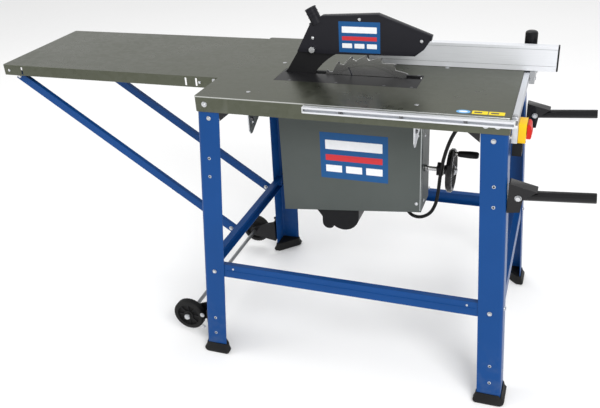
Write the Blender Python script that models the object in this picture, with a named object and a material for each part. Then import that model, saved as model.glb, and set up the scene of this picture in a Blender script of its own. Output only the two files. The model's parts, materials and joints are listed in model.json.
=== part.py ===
"""Contractor's table saw with a rear table extension, modelled as separate working parts.

Metres, +Z up, floor at z = 0. +X is the operator's side, -X the outfeed side and +Y the rip fence side.
All sizes are given about the centre of the saw table; TABLE_X then puts the object's own box over the origin.
"""

from math import atan2, cos, pi, radians, sin

import bmesh
import bpy
from mathutils import Matrix, Vector

GAP = 0.0004  # clearance kept between pieces that touch

TABLE_X = 0.27027  # table centre along X in the part's own frame
TABLE_LENGTH, TABLE_WIDTH, TABLE_TOP = 0.800, 0.550, 0.800
SHEET, SKIRT = 0.002, 0.042

INSERT_X = (-0.238, 0.152)
INSERT_Y = (-0.116, -0.016)
INSERT_LEDGE, INSERT_FLANGE = 0.007, 0.0012

EXTENSION_X = (-1.142, -0.4025)
EXTENSION_Y = (-0.120, 0.270)
EXTENSION_SKIRT = 0.032

LEG_WIDTH, LEG_SHEET, LEG_BEND = 0.063, 0.0025, 0.008
LEG_KINK = 0.752  # below this height the legs splay out
LEG_TOP_CORNER = (0.3975 - GAP, 0.2725 - GAP)
LEG_FLOOR_CORNER = (0.436, 0.328)
LEG_BOTTOM = 0.009
FOOT_HEIGHT, FOOT_FLARE, FOOT_INSIDE = 0.029, 0.010, 0.012

BAR_Z, BAR_HEIGHT, BAR_FLANGE, BAR_SHEET = 0.283, 0.040, 0.018, 0.002
STRUT_Y = (-0.083, 0.208)
STRUT_HEIGHT, STRUT_DEPTH, STRUT_SHEET = 0.025, 0.014, 0.0025

BLADE_Y, BLADE_X, BLADE_RADIUS, BLADE_BODY = -0.043, 0.003, 0.1575, 0.1475
BLADE_TEETH, BLADE_THICKNESS, BORE_RADIUS = 24, 0.0030, 0.0150
ARBOR_Z = 0.700
TILT_Z = 0.784  # height of the tilting axis, just under the table sheet
PIN_RADIUS = 0.0045

HOUSING_X = (-0.231, 0.171)
HOUSING_Y = (-0.120, -0.018)
HOUSING_FLOOR = (0.405, 0.445)  # lower at the outfeed end, so that dust slides to the chute
HOUSING_TOP, HOUSING_NEAR_TOP = 0.788, 0.700
HOUSING_SHEET = 0.0015
RISE_DOWN, RISE_UP = 0.042, 0.020

SHAFT_Y, SHAFT_Z, SHAFT_RADIUS = -0.075, 0.560, 0.006
SCREW_X = -0.205
WHEEL_X, HANDWHEEL_RADIUS, CRANK_RADIUS = 0.243, 0.060, 0.050

AXLE_X, AXLE_Z, AXLE_RADIUS = -0.515, 0.078, 0.006
ROAD_WHEEL_RADIUS, ROAD_WHEEL_Y = 0.050, (0.259, 0.284)

HANDLE_PIVOT = (0.431, 0.2665, 0.605)  # x, distance from the middle, z
HANDLE_RADIUS, HANDLE_BORE, HANDLE_REACH, HANDLE_RISE = 0.0125, 0.0105, 0.170, radians(4)

FENCE_Y, FENCE_DEPTH, FENCE_HEIGHT = 0.068, 0.022, 0.066
FENCE_X = (-0.022, 0.479)
FRONT_RAIL_X = (0.4004, 0.4144)
NEAR_RAIL_X = (-0.095, 0.408)
NEAR_RAIL_DEPTH, RAIL_HEIGHT = 0.015, 0.016

SWITCH_Y, SWITCH_Z = -0.205, 0.745
SWITCH_WIDTH, SWITCH_HEIGHT, SWITCH_DEPTH = 0.050, 0.050, 0.018
HOOD_WIDTH, HOOD_WALL = 0.016, 0.002
HOOD_BOLT = (-0.145, 0.869)
PORT_RADIUS, PORT_BORE, PORT_LENGTH = 0.015, 0.013, 0.038

CHUTE_X = (-0.135, -0.010)
CHUTE_Y = (-0.108, -0.030)
CHUTE_WALL, CHUTE_MOUTH = 0.0025, 0.022


def housing_floor(x):
    share = (x - HOUSING_X[0]) / (HOUSING_X[1] - HOUSING_X[0])
    return HOUSING_FLOOR[0] + (HOUSING_FLOOR[1] - HOUSING_FLOOR[0]) * share


def chute_outline(inset):
    """Side view of the chute: a flared rim, a small lobe behind and a large curved one in front."""
    top_rear, top_front = housing_floor(CHUTE_X[0]) - GAP, housing_floor(CHUTE_X[1]) - GAP
    small, large = 0.0185 - inset, 0.0470 - inset
    rear = [(-0.1020 + small * cos(a), 0.3685 + small * sin(a)) for a in (radians(180 + 15 * i) for i in range(10))]
    front = [(-0.0570 + large * cos(a), 0.3980 + large * sin(a)) for a in (radians(232 + 16 * i) for i in range(9))]
    rim = inset * 1.2
    lift = 0.02 if inset else 0.0
    return [
        (CHUTE_X[0] + rim, top_rear + lift),
        (CHUTE_X[0] + rim, top_rear - 0.006),
        (-0.1205 + inset, 0.388),
        *rear,
        *front,
        (CHUTE_X[1] - inset, top_front - 0.004),
        (CHUTE_X[1] - inset, top_front + lift),
    ]

# side outlines (x, z) of the hood's outer skin and of the open room inside it
HOOD_OUTLINE = (
    (-0.190, 0.861),
    (-0.180, 0.880),
    (-0.150, 0.936),
    (-0.114, 0.958),
    (0.036, 0.966),
    (0.176, 0.914),
    (0.172, 0.904),
    (0.156, 0.880),
    (0.133, 0.862),
    (-0.105, 0.858),
)
HOOD_ROOM = (
    (-0.210, 0.840),
    (-0.210, 0.875),
    (-0.172, 0.903),
    (-0.1625, 0.908),
    (-0.1485, 0.9325),
    (-0.1130, 0.9550),
    (0.0355, 0.9630),
    (0.1715, 0.9125),
    (0.1680, 0.9055),
    (0.1520, 0.8825),
    (0.1310, 0.8660),
    (0.1310, 0.8400),
)

# middle line of the motor's cable, hanging from the gland to the terminal box
CABLE_RADIUS = 0.0048
CABLE_ROUTE = (
    (0.3045, -0.190, 0.7826),
    (0.3040, -0.190, 0.7730),
    (0.2950, -0.187, 0.7570),
    (0.2760, -0.180, 0.7360),
    (0.2570, -0.166, 0.7030),
    (0.2410, -0.148, 0.6600),
    (0.2280, -0.130, 0.6100),
    (0.2200, -0.119, 0.5600),
    (0.2150, -0.113, 0.5100),
    (0.2080, -0.108, 0.4700),
    (0.1930, -0.104, 0.4380),
    (0.1680, -0.098, 0.4190),
    (0.1400, -0.082, 0.4120),
    (0.1160, -0.050, 0.4140),
    (0.0960, -0.010, 0.4300),
    (0.0800, 0.026, 0.4680),
    (0.0680, 0.050, 0.5250),
    (0.0590, 0.064, 0.5850),
    (0.0552, 0.072, 0.6300),
    (0.0550, 0.072, 0.6546),
)


def clear_scene():
    for old in list(bpy.data.objects):
        bpy.data.objects.remove(old, do_unlink=True)


def make_material(name, colour, roughness, metallic=0.0):
    made = bpy.data.materials.new(name)
    made.use_nodes = True
    shader = made.node_tree.nodes["Principled BSDF"]
    shader.inputs["Base Color"].default_value = (*colour, 1.0)
    shader.inputs["Roughness"].default_value = roughness
    shader.inputs["Metallic"].default_value = metallic
    made.diffuse_color = (*colour, 1.0)
    return made


def at(axis, along, first, second):
    """A point from its place along an axis and its two other coordinates, in XYZ order."""
    if axis == "X":
        return (along, first, second)
    if axis == "Y":
        return (first, along, second)
    return (first, second, along)


def loft(rings, loop=False):
    """A closed mesh through rings of points; with loop the last ring joins the first."""
    shape = bmesh.new()
    rows = [[shape.verts.new(point) for point in ring] for ring in rings]
    count = len(rows[0])
    pairs = list(zip(rows, rows[1:]))
    if loop:
        pairs.append((rows[-1], rows[0]))
    for lower, upper in pairs:
        for i in range(count):
            j = (i + 1) % count
            shape.faces.new((lower[i], lower[j], upper[j], upper[i]))
    if not loop:
        shape.faces.new(rows[0][::-1])
        shape.faces.new(rows[-1])
    bmesh.ops.recalc_face_normals(shape, faces=shape.faces)
    mesh = bpy.data.meshes.new("solid")
    shape.to_mesh(mesh)
    shape.free()
    return mesh


def prism(outline, axis, low, high):
    """A flat outline extruded along an axis from low to high."""
    return loft([[at(axis, along, a, b) for a, b in outline] for along in (low, high)])


def box(x, y, z):
    """A box from three (low, high) pairs."""
    corners = ((x[0], y[0]), (x[1], y[0]), (x[1], y[1]), (x[0], y[1]))
    return prism(corners, "Z", z[0], z[1])


def circle(centre, radius, sides=24, start=0.0):
    return [
        (centre[0] + radius * cos(start + 2 * pi * i / sides), centre[1] + radius * sin(start + 2 * pi * i / sides))
        for i in range(sides)
    ]


def turned(stations, axis, centre, sides=24, bored=False):
    """A turned solid from (radius, along) stations; bored closes the stations into a ring with a hole."""
    rings = [[at(axis, along, a, b) for a, b in circle(centre, radius, sides)] for radius, along in stations]
    return loft(rings, loop=bored)


def rod(axis, centre, radius, low, high, sides=16):
    return turned([(radius, low), (radius, high)], axis, centre, sides)


def tube(axis, centre, radius, bore, low, high, sides=24):
    return turned([(radius, low), (radius, high), (bore, high), (bore, low)], axis, centre, sides, bored=True)


def combine(mesh, others, operation):
    """One closed mesh: the others cut from the first, or fused to it."""
    base = bpy.data.objects.new("base", mesh)
    bpy.context.scene.collection.objects.link(base)
    helpers = []
    for other in others:
        helper = bpy.data.objects.new("helper", other)
        helper.hide_render = True
        helper.display_type = "WIRE"
        bpy.context.scene.collection.objects.link(helper)
        helpers.append(helper)
        modifier = base.modifiers.new("combine", "BOOLEAN")
        modifier.operation = operation
        modifier.object = helper
    bpy.context.view_layer.update()
    graph = bpy.context.evaluated_depsgraph_get()
    result = bpy.data.meshes.new_from_object(base.evaluated_get(graph))
    for used in [base, *helpers]:
        bpy.data.objects.remove(used, do_unlink=True)
    return result


def cut(mesh, *cutters):
    return combine(mesh, cutters, "DIFFERENCE")


def fuse(mesh, *others):
    return combine(mesh, others, "UNION")


def turn(mesh, angle, axis, about):
    """The mesh turned about an axis through a point."""
    centre = Matrix.Translation(Vector(about))
    mesh.transform(centre @ Matrix.Rotation(angle, 4, axis) @ centre.inverted())
    return mesh


def part(name, mesh, material, pivot=(0.0, 0.0, 0.0)):
    """Names a finished mesh and puts its origin on its joint's axis."""
    mesh.name = name
    mesh.transform(Matrix.Translation(-Vector(pivot)))
    mesh.materials.clear()
    mesh.materials.append(material)
    mesh.shade_smooth()
    mesh.set_sharp_from_angle(angle=radians(35))
    made = bpy.data.objects.new(name, mesh)
    made.location = Vector(pivot) + Vector((TABLE_X, 0.0, 0.0))
    bpy.context.scene.collection.objects.link(made)
    return made


def rounded_rectangle(x, y, radius, steps=3):
    """Corners of a rectangle given by (low, high) pairs, each corner an arc."""
    centres = (
        (x[1] - radius, y[1] - radius, 0.0),
        (x[0] + radius, y[1] - radius, pi / 2),
        (x[0] + radius, y[0] + radius, pi),
        (x[1] - radius, y[0] + radius, 3 * pi / 2),
    )
    return [
        (cx + radius * cos(start + pi / 2 * i / steps), cy + radius * sin(start + pi / 2 * i / steps))
        for cx, cy, start in centres
        for i in range(steps + 1)
    ]


def grown(pair, by):
    return (pair[0] - by, pair[1] + by)


def leg_corner(z):
    """Outer corner of the legs at a height, as distances from the middle along X and Y."""
    share = max(0.0, (LEG_KINK - z) / LEG_KINK)
    return tuple(top + (floor - top) * share for top, floor in zip(LEG_TOP_CORNER, LEG_FLOOR_CORNER))


def tray(x, y, top, sheet, skirt, radius):
    """A sheet folded down on all four sides."""
    outer = prism(rounded_rectangle(x, y, radius), "Z", top - skirt, top)
    inner = rounded_rectangle(grown(x, -sheet), grown(y, -sheet), radius - sheet)
    return cut(outer, prism(inner, "Z", top - skirt - sheet, top - sheet))


def build_table(galvanised, insert_black):
    x = (-TABLE_LENGTH / 2, TABLE_LENGTH / 2)
    y = (-TABLE_WIDTH / 2, TABLE_WIDTH / 2)
    below = TABLE_TOP - 2 * SHEET
    above = TABLE_TOP + SHEET
    opening = box(grown(INSERT_X, GAP), grown(INSERT_Y, GAP), (below, above))
    part("table_top", cut(tray(x, y, TABLE_TOP, SHEET, SKIRT, 0.007), opening), galvanised)

    plate = box(INSERT_X, INSERT_Y, (TABLE_TOP - SHEET - GAP, TABLE_TOP))
    flange_top = TABLE_TOP - SHEET - GAP
    flange = box(
        grown(INSERT_X, INSERT_LEDGE),
        grown(INSERT_Y, INSERT_LEDGE),
        (flange_top - INSERT_FLANGE, flange_top + GAP / 2),
    )
    slot_y = (BLADE_Y - 0.0040, BLADE_Y + 0.0205)
    slot = rounded_rectangle((INSERT_X[0] + 0.0065, INSERT_X[1] - 0.003), slot_y, 0.004)
    insert = cut(fuse(plate, flange), prism(slot, "Z", below - SHEET, above))
    part("table_insert", insert, insert_black)


def build_extension(galvanised, blue):
    body = tray(EXTENSION_X, EXTENSION_Y, TABLE_TOP - 0.003, SHEET, EXTENSION_SKIRT, 0.006)
    low = TABLE_TOP - 0.003 - EXTENSION_SKIRT
    slots = [
        box((x - 0.003, x + 0.003), grown((EXTENSION_Y[0], EXTENSION_Y[0]), 0.004), (low + 0.004, low + 0.027))
        for x in (-1.073, -0.506, -0.473)
    ]
    part("extension_table", cut(body, *slots), galvanised)

    foot = Vector((-leg_corner(BAR_Z)[0] - 0.004, 0.0, BAR_Z + 0.006))
    head = Vector((-1.118, 0.0, 0.757))
    run = head - foot
    angle = atan2(run.z, -run.x)
    for name, y in zip(("strut_near", "strut_far"), STRUT_Y):
        length = run.length
        outline = (
            (0.0, -STRUT_HEIGHT / 2),
            (length, -STRUT_HEIGHT / 2),
            (length, STRUT_HEIGHT / 2),
            (0.0, STRUT_HEIGHT / 2),
        )
        bar = prism(outline, "Y", y - STRUT_DEPTH / 2, y + STRUT_DEPTH / 2)
        hollow = box(
            (-0.01, length + 0.01),
            (y - STRUT_DEPTH / 2 + STRUT_SHEET, y + STRUT_DEPTH),
            grown((-STRUT_HEIGHT / 2 + STRUT_SHEET, STRUT_HEIGHT / 2 - STRUT_SHEET), 0.0),
        )
        bar = cut(bar, hollow)
        bar.transform(Matrix.Translation(foot) @ Matrix.Rotation(pi + angle, 4, "Y"))
        part(name, bar, blue)


def leg_ring(side_x, side_y, z):
    """The folded angle of a leg at one height: outer corner bend, two flanges, inner bend."""
    corner_x, corner_y = leg_corner(z)
    outer = [
        (LEG_BEND - LEG_BEND * cos(pi / 2 * i / 3), LEG_BEND - LEG_BEND * sin(pi / 2 * i / 3)) for i in range(4)
    ]
    inner_bend = LEG_BEND - LEG_SHEET
    inner = [
        (LEG_BEND - inner_bend * sin(pi / 2 * i / 3), LEG_BEND - inner_bend * cos(pi / 2 * i / 3)) for i in range(4)
    ]
    ring = [(0.0, LEG_WIDTH), *outer, (LEG_WIDTH, 0.0), (LEG_WIDTH, LEG_SHEET), *inner, (LEG_SHEET, LEG_WIDTH)]
    return [(side_x * (corner_x - a), side_y * (corner_y - b), z) for a, b in ring]


def build_legs(blue, rubber):
    heights = (LEG_BOTTOM, LEG_KINK, TABLE_TOP - SHEET - GAP)
    for end, side_x in (("rear", -1), ("front", 1)):
        for side, side_y in (("near", -1), ("far", 1)):
            leg = loft([leg_ring(side_x, side_y, z) for z in heights])
            part(f"leg_{end}_{side}", leg, blue)
            part(f"foot_{end}_{side}", foot_mesh(side_x, side_y), rubber)


def foot_mesh(side_x, side_y):
    """A rubber shoe that flares to the floor, cut off slantwise inside, with an angle slot for the leg."""
    inside = FOOT_INSIDE
    rings = []
    for z, flare in ((0.0, 0.008), (0.007, FOOT_FLARE), (0.018, 0.005), (FOOT_HEIGHT, 0.003)):
        corner_x, corner_y = leg_corner(z)
        bend, reach = 0.014, LEG_WIDTH + flare
        ring = [
            (bend - flare - bend * cos(pi / 2 * i / 4), bend - flare - bend * sin(pi / 2 * i / 4)) for i in range(5)
        ]
        ring += [(reach - 0.004, -flare), (reach, 0.004 - flare), (reach, inside)]
        ring += [(inside, reach), (0.004 - flare, reach), (-flare, reach - 0.004)]
        rings.append([(side_x * (corner_x - a), side_y * (corner_y - b), z) for a, b in ring])
    boot = loft(rings)
    reach, thick = LEG_WIDTH + GAP, LEG_SHEET + GAP
    outer = [(-GAP, reach), (-GAP, -GAP), (reach, -GAP)]
    ring = [*outer, (reach, thick), (LEG_BEND, thick), (thick, LEG_BEND), (thick, reach)]
    slot_rings = []
    for z in (LEG_BOTTOM - GAP, FOOT_HEIGHT + 0.002):
        corner_x, corner_y = leg_corner(z)
        slot_rings.append([(side_x * (corner_x - a), side_y * (corner_y - b), z) for a, b in ring])
    return cut(boot, loft(slot_rings))


def channel(low, high, side):
    """Section of a channel bar around its web's foot: web outside, flanges pointing in."""
    half = BAR_HEIGHT / 2
    sheet = BAR_SHEET
    points = (
        (0.0, -half),
        (0.0, half),
        (-BAR_FLANGE, half),
        (-BAR_FLANGE, half - sheet),
        (-sheet, half - sheet),
        (-sheet, -half + sheet),
        (-BAR_FLANGE, -half + sheet),
        (-BAR_FLANGE, -half),
    )
    return [(side * a, b) for a, b in points], low, high


def build_crossbars(blue):
    corner_x, corner_y = leg_corner(BAR_Z)
    lean_x = atan2(LEG_FLOOR_CORNER[0] - LEG_TOP_CORNER[0], LEG_KINK)
    lean_y = atan2(LEG_FLOOR_CORNER[1] - LEG_TOP_CORNER[1], LEG_KINK)
    inset = LEG_SHEET + GAP
    for name, side in (("crossbar_near", -1), ("crossbar_far", 1)):
        outline, low, high = channel(-corner_x + 0.012, corner_x - 0.012, side)
        face = side * (corner_y - inset)
        bar = prism([(face + a, BAR_Z + b) for a, b in outline], "X", low, high)
        part(name, turn(bar, side * lean_y, "X", (0.0, face, BAR_Z)), blue)
    for name, side in (("crossbar_rear", -1), ("crossbar_front", 1)):
        outline, low, high = channel(-corner_y + 0.030, corner_y - 0.030, side)
        face = side * (corner_x - inset)
        bar = prism([(face + a, BAR_Z + b) for a, b in outline], "Y", low, high)
        part(name, turn(bar, -side * lean_x, "Y", (face, 0.0, BAR_Z)), blue)


def build_rails(aluminium):
    """Both guide rails: extrusions with an open slot along their outer side."""
    top = TABLE_TOP - 0.003
    face = -TABLE_WIDTH / 2 - GAP
    depth = NEAR_RAIL_DEPTH
    near = slotted_section(face, face - depth, top - RAIL_HEIGHT, top)
    part("guide_rail_near", prism(near, "X", *NEAR_RAIL_X), aluminium)
    front = slotted_section(FRONT_RAIL_X[0], FRONT_RAIL_X[1], top - 0.026, top)
    part("fence_rail_front", prism(front, "Y", -0.262, 0.262), aluminium)


def slotted_section(back, front, low, high):
    """A rectangle from back to front with a slot in its front face."""
    middle, slot, wall = (low + high) / 2, (high - low) / 5, (front - back) / 4
    return [
        (back, low),
        (front, low),
        (front, middle - slot),
        (back + wall, middle - slot),
        (back + wall, middle + slot),
        (front, middle + slot),
        (front, high),
        (back, high),
    ]


def build_hangers(steel):
    """Two triangular plates inside the near skirt, which take the sliding accessories."""
    top = TABLE_TOP - SHEET - GAP
    wall = -TABLE_WIDTH / 2 + SHEET + GAP
    for name, x in (("hanger_plate_rear", -0.253), ("hanger_plate_front", 0.178)):
        outline = ((wall, top), (wall, 0.716), (wall + 0.010, 0.702), (wall + 0.018, 0.702), (wall + 0.090, 0.742))
        plate = prism([*outline, (wall + 0.090, top)], "X", x, x + 0.003)
        hole = rod("X", (wall + 0.024, 0.728), 0.0040, x - 0.01, x + 0.01, 12)
        part(name, cut(plate, hole), steel)


def build_road_wheels(black, steel, rubber):
    for name, side in (("wheel_bracket_near", -1), ("wheel_bracket_far", 1)):
        back = -leg_corner(0.046)[0] - GAP
        outer, inner = leg_corner(0.13)[1] - 0.012, ROAD_WHEEL_Y[0] - 0.010
        flange = box((back - 0.003, back), sorted((side * outer, side * inner)), (0.046, 0.126))
        outline = (
            (back, 0.046),
            (back, 0.126),
            (back - 0.020, 0.120),
            (AXLE_X - 0.008, 0.092),
            (AXLE_X - 0.015, 0.084),
            (AXLE_X - 0.015, 0.070),
            (AXLE_X - 0.006, 0.061),
        )
        cheek_y = sorted((side * inner, side * (inner + 0.004)))
        hole = rod("Y", (AXLE_X, AXLE_Z), AXLE_RADIUS + GAP, cheek_y[0] - 0.01, cheek_y[1] + 0.01)
        part(name, cut(fuse(flange, prism(outline, "Y", *cheek_y)), hole), black)
    part("wheel_axle", rod("Y", (AXLE_X, AXLE_Z), AXLE_RADIUS, -0.291, 0.291, 12), steel)

    for name, side in (("road_wheel_near", -1), ("road_wheel_far", 1)):
        inner, outer = (side * y for y in ROAD_WHEEL_Y)
        lip = side * 0.004
        bore, dish, hub = AXLE_RADIUS + GAP, ROAD_WHEEL_RADIUS - 0.014, 0.016
        stations = [
            (bore, inner),
            (hub, inner),
            (hub, inner + lip * 2),
            (dish, inner + lip * 2),
            (dish, inner),
            (ROAD_WHEEL_RADIUS - 0.004, inner),
            (ROAD_WHEEL_RADIUS, inner + lip),
            (ROAD_WHEEL_RADIUS, outer - lip),
            (ROAD_WHEEL_RADIUS - 0.004, outer),
            (dish, outer),
            (dish, outer - lip * 2),
            (hub, outer - lip * 2),
            (hub, outer),
            (bore, outer),
        ]
        pivot = (AXLE_X, (inner + outer) / 2, AXLE_Z)
        part(name, turned(stations, "Y", (AXLE_X, AXLE_Z), 28, bored=True), rubber, pivot)


def build_handles(black):
    """Folding carrying handles: a tube between the cheeks of a bracket whose top flange is its stop."""
    px, py, pz = HANDLE_PIVOT
    half, wall = HANDLE_RADIUS + 0.001, 0.003
    back = leg_corner(pz - 0.042)[0] + GAP
    for name, side in (("near", -1), ("far", 1)):
        y = side * py
        width = (y - half - wall, y + half + wall)
        plate = box((back, back + wall), width, (pz - 0.042, pz + 0.035))
        cheek_outline = (
            (back + wall / 2, pz - 0.042),
            (px + 0.006, pz - 0.038),
            (px + 0.011, pz - 0.004),
            (px + 0.040, pz + 0.018),
            (back + wall / 2, pz + 0.034),
        )
        cheeks = [prism(cheek_outline, "Y", low, low + wall) for low in (width[0], y + half)]
        stop = prism(
            (
                (back + wall / 2, pz + 0.035),
                (back + wall / 2, pz + 0.032),
                (px + 0.042, pz + 0.0166),
                (px + 0.042, pz + 0.0196),
            ),
            "Y",
            *width,
        )
        hole = rod("Y", (px, pz), 0.0044, y - 0.03, y + 0.03, 12)
        part(f"handle_bracket_{name}", cut(fuse(plate, *cheeks, stop), hole), black)

        grip = tube("X", (y, pz), HANDLE_RADIUS, HANDLE_BORE, px - 0.012, px + HANDLE_REACH, 20)
        bolt = fuse(
            rod("Y", (px, pz), 0.0040, width[0] - 0.004, width[1] + 0.004, 12),
            rod("Y", (px, pz), 0.0070, width[0] - 0.006, width[0] - GAP, 6),
            rod("Y", (px, pz), 0.0070, width[1] + GAP, width[1] + 0.006, 6),
        )
        handle = turn(fuse(grip, bolt), -HANDLE_RISE, "Y", (px, y, pz))
        part(f"handle_tube_{name}", handle, black, (px, y, pz))


def build_switch(black, zinc, yellow, red, green):
    """Start and stop switch on a bracket under the front rail, with the mains inlet below it."""
    face = TABLE_LENGTH / 2 + GAP
    y = grown((SWITCH_Y, SWITCH_Y), SWITCH_WIDTH / 2)
    z = grown((SWITCH_Z, SWITCH_Z), SWITCH_HEIGHT / 2)
    part("switch_bracket", box((face, face + 0.014), y, (z[0], z[1] - GAP)), zinc)
    inlet = box((face + 0.003, face + 0.026), grown(y, -0.009), (z[0] - 0.036, z[0] - GAP))
    socket = box((face + 0.012, face + 0.030), grown(y, -0.015), (z[0] - 0.031, z[0] - 0.009))
    part("mains_inlet", cut(inlet, socket), black)

    back = face + 0.014 + GAP
    front = back + SWITCH_DEPTH
    body = prism(rounded_rectangle(y, z, 0.005, 2), "X", back, front)
    button_at = (SWITCH_Y - 0.009, SWITCH_Z + 0.003)
    well = rod("X", button_at, 0.0070 + GAP, front - 0.012, front + 0.01, 16)
    part("switch_housing", cut(body, well), yellow)
    seat = front - 0.0080
    button = turned([(0.0070, seat), (0.0070, front + 0.0016), (0.0060, front + 0.0022)], "X", button_at, 16)
    part("start_button", button, green, (seat, *button_at))

    hinge = (front + 0.0045, SWITCH_Y, z[1] - 0.006)
    outline = (
        (front + 0.0010, z[0] + 0.011),
        (front + 0.0100, z[0] + 0.011),
        (front + 0.0120, z[0] + 0.016),
        (front + 0.0100, z[1] - 0.008),
        (front + 0.0060, z[1] - 0.003),
        (front + 0.0025, z[1] - 0.003),
        (front + 0.0010, z[1] - 0.006),
    )
    flap = prism(outline, "Y", SWITCH_Y - 0.019, SWITCH_Y + 0.019)
    window = box(
        (front - 0.01, front + 0.0070), grown((button_at[0],) * 2, 0.0085), grown((button_at[1],) * 2, 0.0085)
    )
    part("stop_flap", cut(flap, window), red, hinge)


def build_tilt_supports(steel):
    """Pivot brackets under the table: pins that carry the saw unit, and the front quadrant with its arc slot."""
    centre = (BLADE_Y, TILT_Z)
    under_table = TABLE_TOP - SHEET - GAP
    under_insert = under_table - INSERT_FLANGE - 2 * GAP
    width = (BLADE_Y - 0.020, BLADE_Y + 0.020)
    face = HOUSING_X[0] - 0.004 - 2 * GAP
    eye = ((BLADE_Y - 0.010, 0.771), (BLADE_Y + 0.010, 0.771))
    outline = ((width[0], under_insert), *eye, (width[1], under_insert))
    plate = prism(outline, "X", face - 0.004, face)
    shelf = box((face - 0.034, face - 0.001), width, (under_insert - 0.003, under_insert))
    pad = box((face - 0.034, INSERT_X[0] - INSERT_LEDGE - 0.001), width, (under_insert - 0.002, under_table))
    pin = rod("X", centre, PIN_RADIUS, face - 0.005, HOUSING_X[0] - GAP)
    part("pivot_bracket_rear", fuse(plate, shelf, pad, pin), steel)

    face = HOUSING_X[1] + 0.004 + 2 * GAP
    outline = (
        (BLADE_Y + 0.022, under_table),
        (BLADE_Y + 0.022, 0.690),
        (BLADE_Y - 0.030, 0.684),
        (BLADE_Y - 0.078, 0.704),
        (BLADE_Y - 0.086, 0.760),
        (BLADE_Y - 0.040, under_table),
    )
    plate = prism(outline, "X", face, face + 0.003)
    shelf_y = (BLADE_Y - 0.038, BLADE_Y + 0.020)
    shelf = box((face + 0.001, face + 0.024), shelf_y, (under_table - 0.003, under_table))
    pin = rod("X", centre, PIN_RADIUS, HOUSING_X[1] + GAP, face + 0.006)
    quadrant = fuse(plate, shelf, pin)
    part("tilt_quadrant", cut(quadrant, arc_slot(centre, 0.085, 0.0048, face - 0.01, face + 0.02)), steel)


def arc_slot(centre, radius, half, low, high):
    """A slot along an arc under the pivot, from straight down to 45 degrees towards the near side."""
    first, last, steps = radians(-90 + 3), radians(-135 - 3), 10
    angles = [first + (last - first) * i / steps for i in range(steps + 1)]
    outer = [(centre[0] + (radius + half) * cos(a), centre[1] + (radius + half) * sin(a)) for a in angles]
    inner = [(centre[0] + (radius - half) * cos(a), centre[1] + (radius - half) * sin(a)) for a in angles]
    return prism([*outer, *reversed(inner)], "X", low, high)


def trunnion(low, high):
    """An ear plate on a housing end, with the pivot hole under the table."""
    centre = (BLADE_Y, TILT_Z)
    arc = [(BLADE_Y + 0.009 * cos(a), TILT_Z + 0.009 * sin(a)) for a in (pi * i / 6 for i in range(7))]
    outline = [(BLADE_Y + 0.020, 0.690), *arc, (BLADE_Y - 0.034, 0.735), (BLADE_Y - 0.034, 0.690)]
    plate = prism(outline, "X", low, high)
    return cut(plate, rod("X", centre, PIN_RADIUS + GAP, low - 0.01, high + 0.01))


def build_housing(grey, black):
    """Blade housing: a folded sheet box open to the table, its ear plates and the bearings of the lift drive."""
    low_x, high_x = HOUSING_X
    near, far = HOUSING_Y
    sheet = HOUSING_SHEET
    shell = prism(
        ((low_x, HOUSING_FLOOR[0]), (high_x, HOUSING_FLOOR[1]), (high_x, HOUSING_TOP), (low_x, HOUSING_TOP)),
        "Y",
        near,
        far,
    )
    inside = prism(
        (
            (low_x + sheet, HOUSING_FLOOR[0] + sheet),
            (high_x - sheet, HOUSING_FLOOR[1] + sheet),
            (high_x - sheet, HOUSING_TOP + 0.1),
            (low_x + sheet, HOUSING_TOP + 0.1),
        ),
        "Y",
        near + sheet,
        far - sheet,
    )
    above = HOUSING_TOP + 0.05
    shoulder = prism(
        (
            (near - 0.05, HOUSING_NEAR_TOP),
            (near, HOUSING_NEAR_TOP),
            (-0.060, HOUSING_NEAR_TOP + 0.060),
            (-0.052, HOUSING_TOP),
            (-0.052, above),
            (near - 0.05, above),
        ),
        "X",
        low_x - 0.01,
        high_x + 0.01,
    )
    motor_slot = rounded_rectangle(
        (BLADE_X - 0.031, BLADE_X + 0.031), (ARBOR_Z - RISE_DOWN - 0.031, ARBOR_Z + RISE_UP + 0.031), 0.0305, 6
    )
    drop = box(grown(CHUTE_X, -CHUTE_WALL), grown(CHUTE_Y, -CHUTE_WALL), (0.35, 0.46))
    body = cut(shell, inside, shoulder, prism(motor_slot, "Y", far - 0.01, far + 0.01), drop)

    near_in, rear_in = near + 0.0008, low_x + 0.0008
    post = box((-0.172, -0.164), (near_in, SHAFT_Y + 0.011), (SHAFT_Z - 0.012, SHAFT_Z + 0.012))
    shelf = box((rear_in, SCREW_X + 0.012), (near_in, SHAFT_Y + 0.011), (0.583, 0.589))
    ears = [trunnion(low_x - 0.004, low_x + 0.0005), trunnion(high_x - 0.0005, high_x + 0.004)]
    body = fuse(body, post, shelf, *ears)
    hole = SHAFT_RADIUS + GAP
    shaft_hole = rod("X", (SHAFT_Y, SHAFT_Z), hole, -0.18, high_x + 0.01)
    screw_hole = rod("Z", (SCREW_X, SHAFT_Y), hole, 0.57, 0.60)
    lock_hole = rod("X", (BLADE_Y, TILT_Z - 0.085), 0.0044, high_x - 0.01, high_x + 0.01)
    part("blade_housing", cut(body, shaft_hole, screw_hole, lock_hole), grey, (0.0, BLADE_Y, TILT_Z))
    build_chute(black)


def build_chute(black):
    """Dust chute: a moulded hopper under the housing floor with its outlet in the larger lobe."""
    middle_y = (CHUTE_Y[0] + CHUTE_Y[1]) / 2
    hopper = prism(chute_outline(0.0), "Y", *CHUTE_Y)
    room = prism(chute_outline(CHUTE_WALL), "Y", *grown(CHUTE_Y, -CHUTE_WALL))
    mouth = rod("Z", (-0.057, middle_y), CHUTE_MOUTH, 0.330, 0.370, 24)
    part("dust_chute", cut(hopper, room, mouth), black, (0.0, BLADE_Y, TILT_Z))


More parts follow.
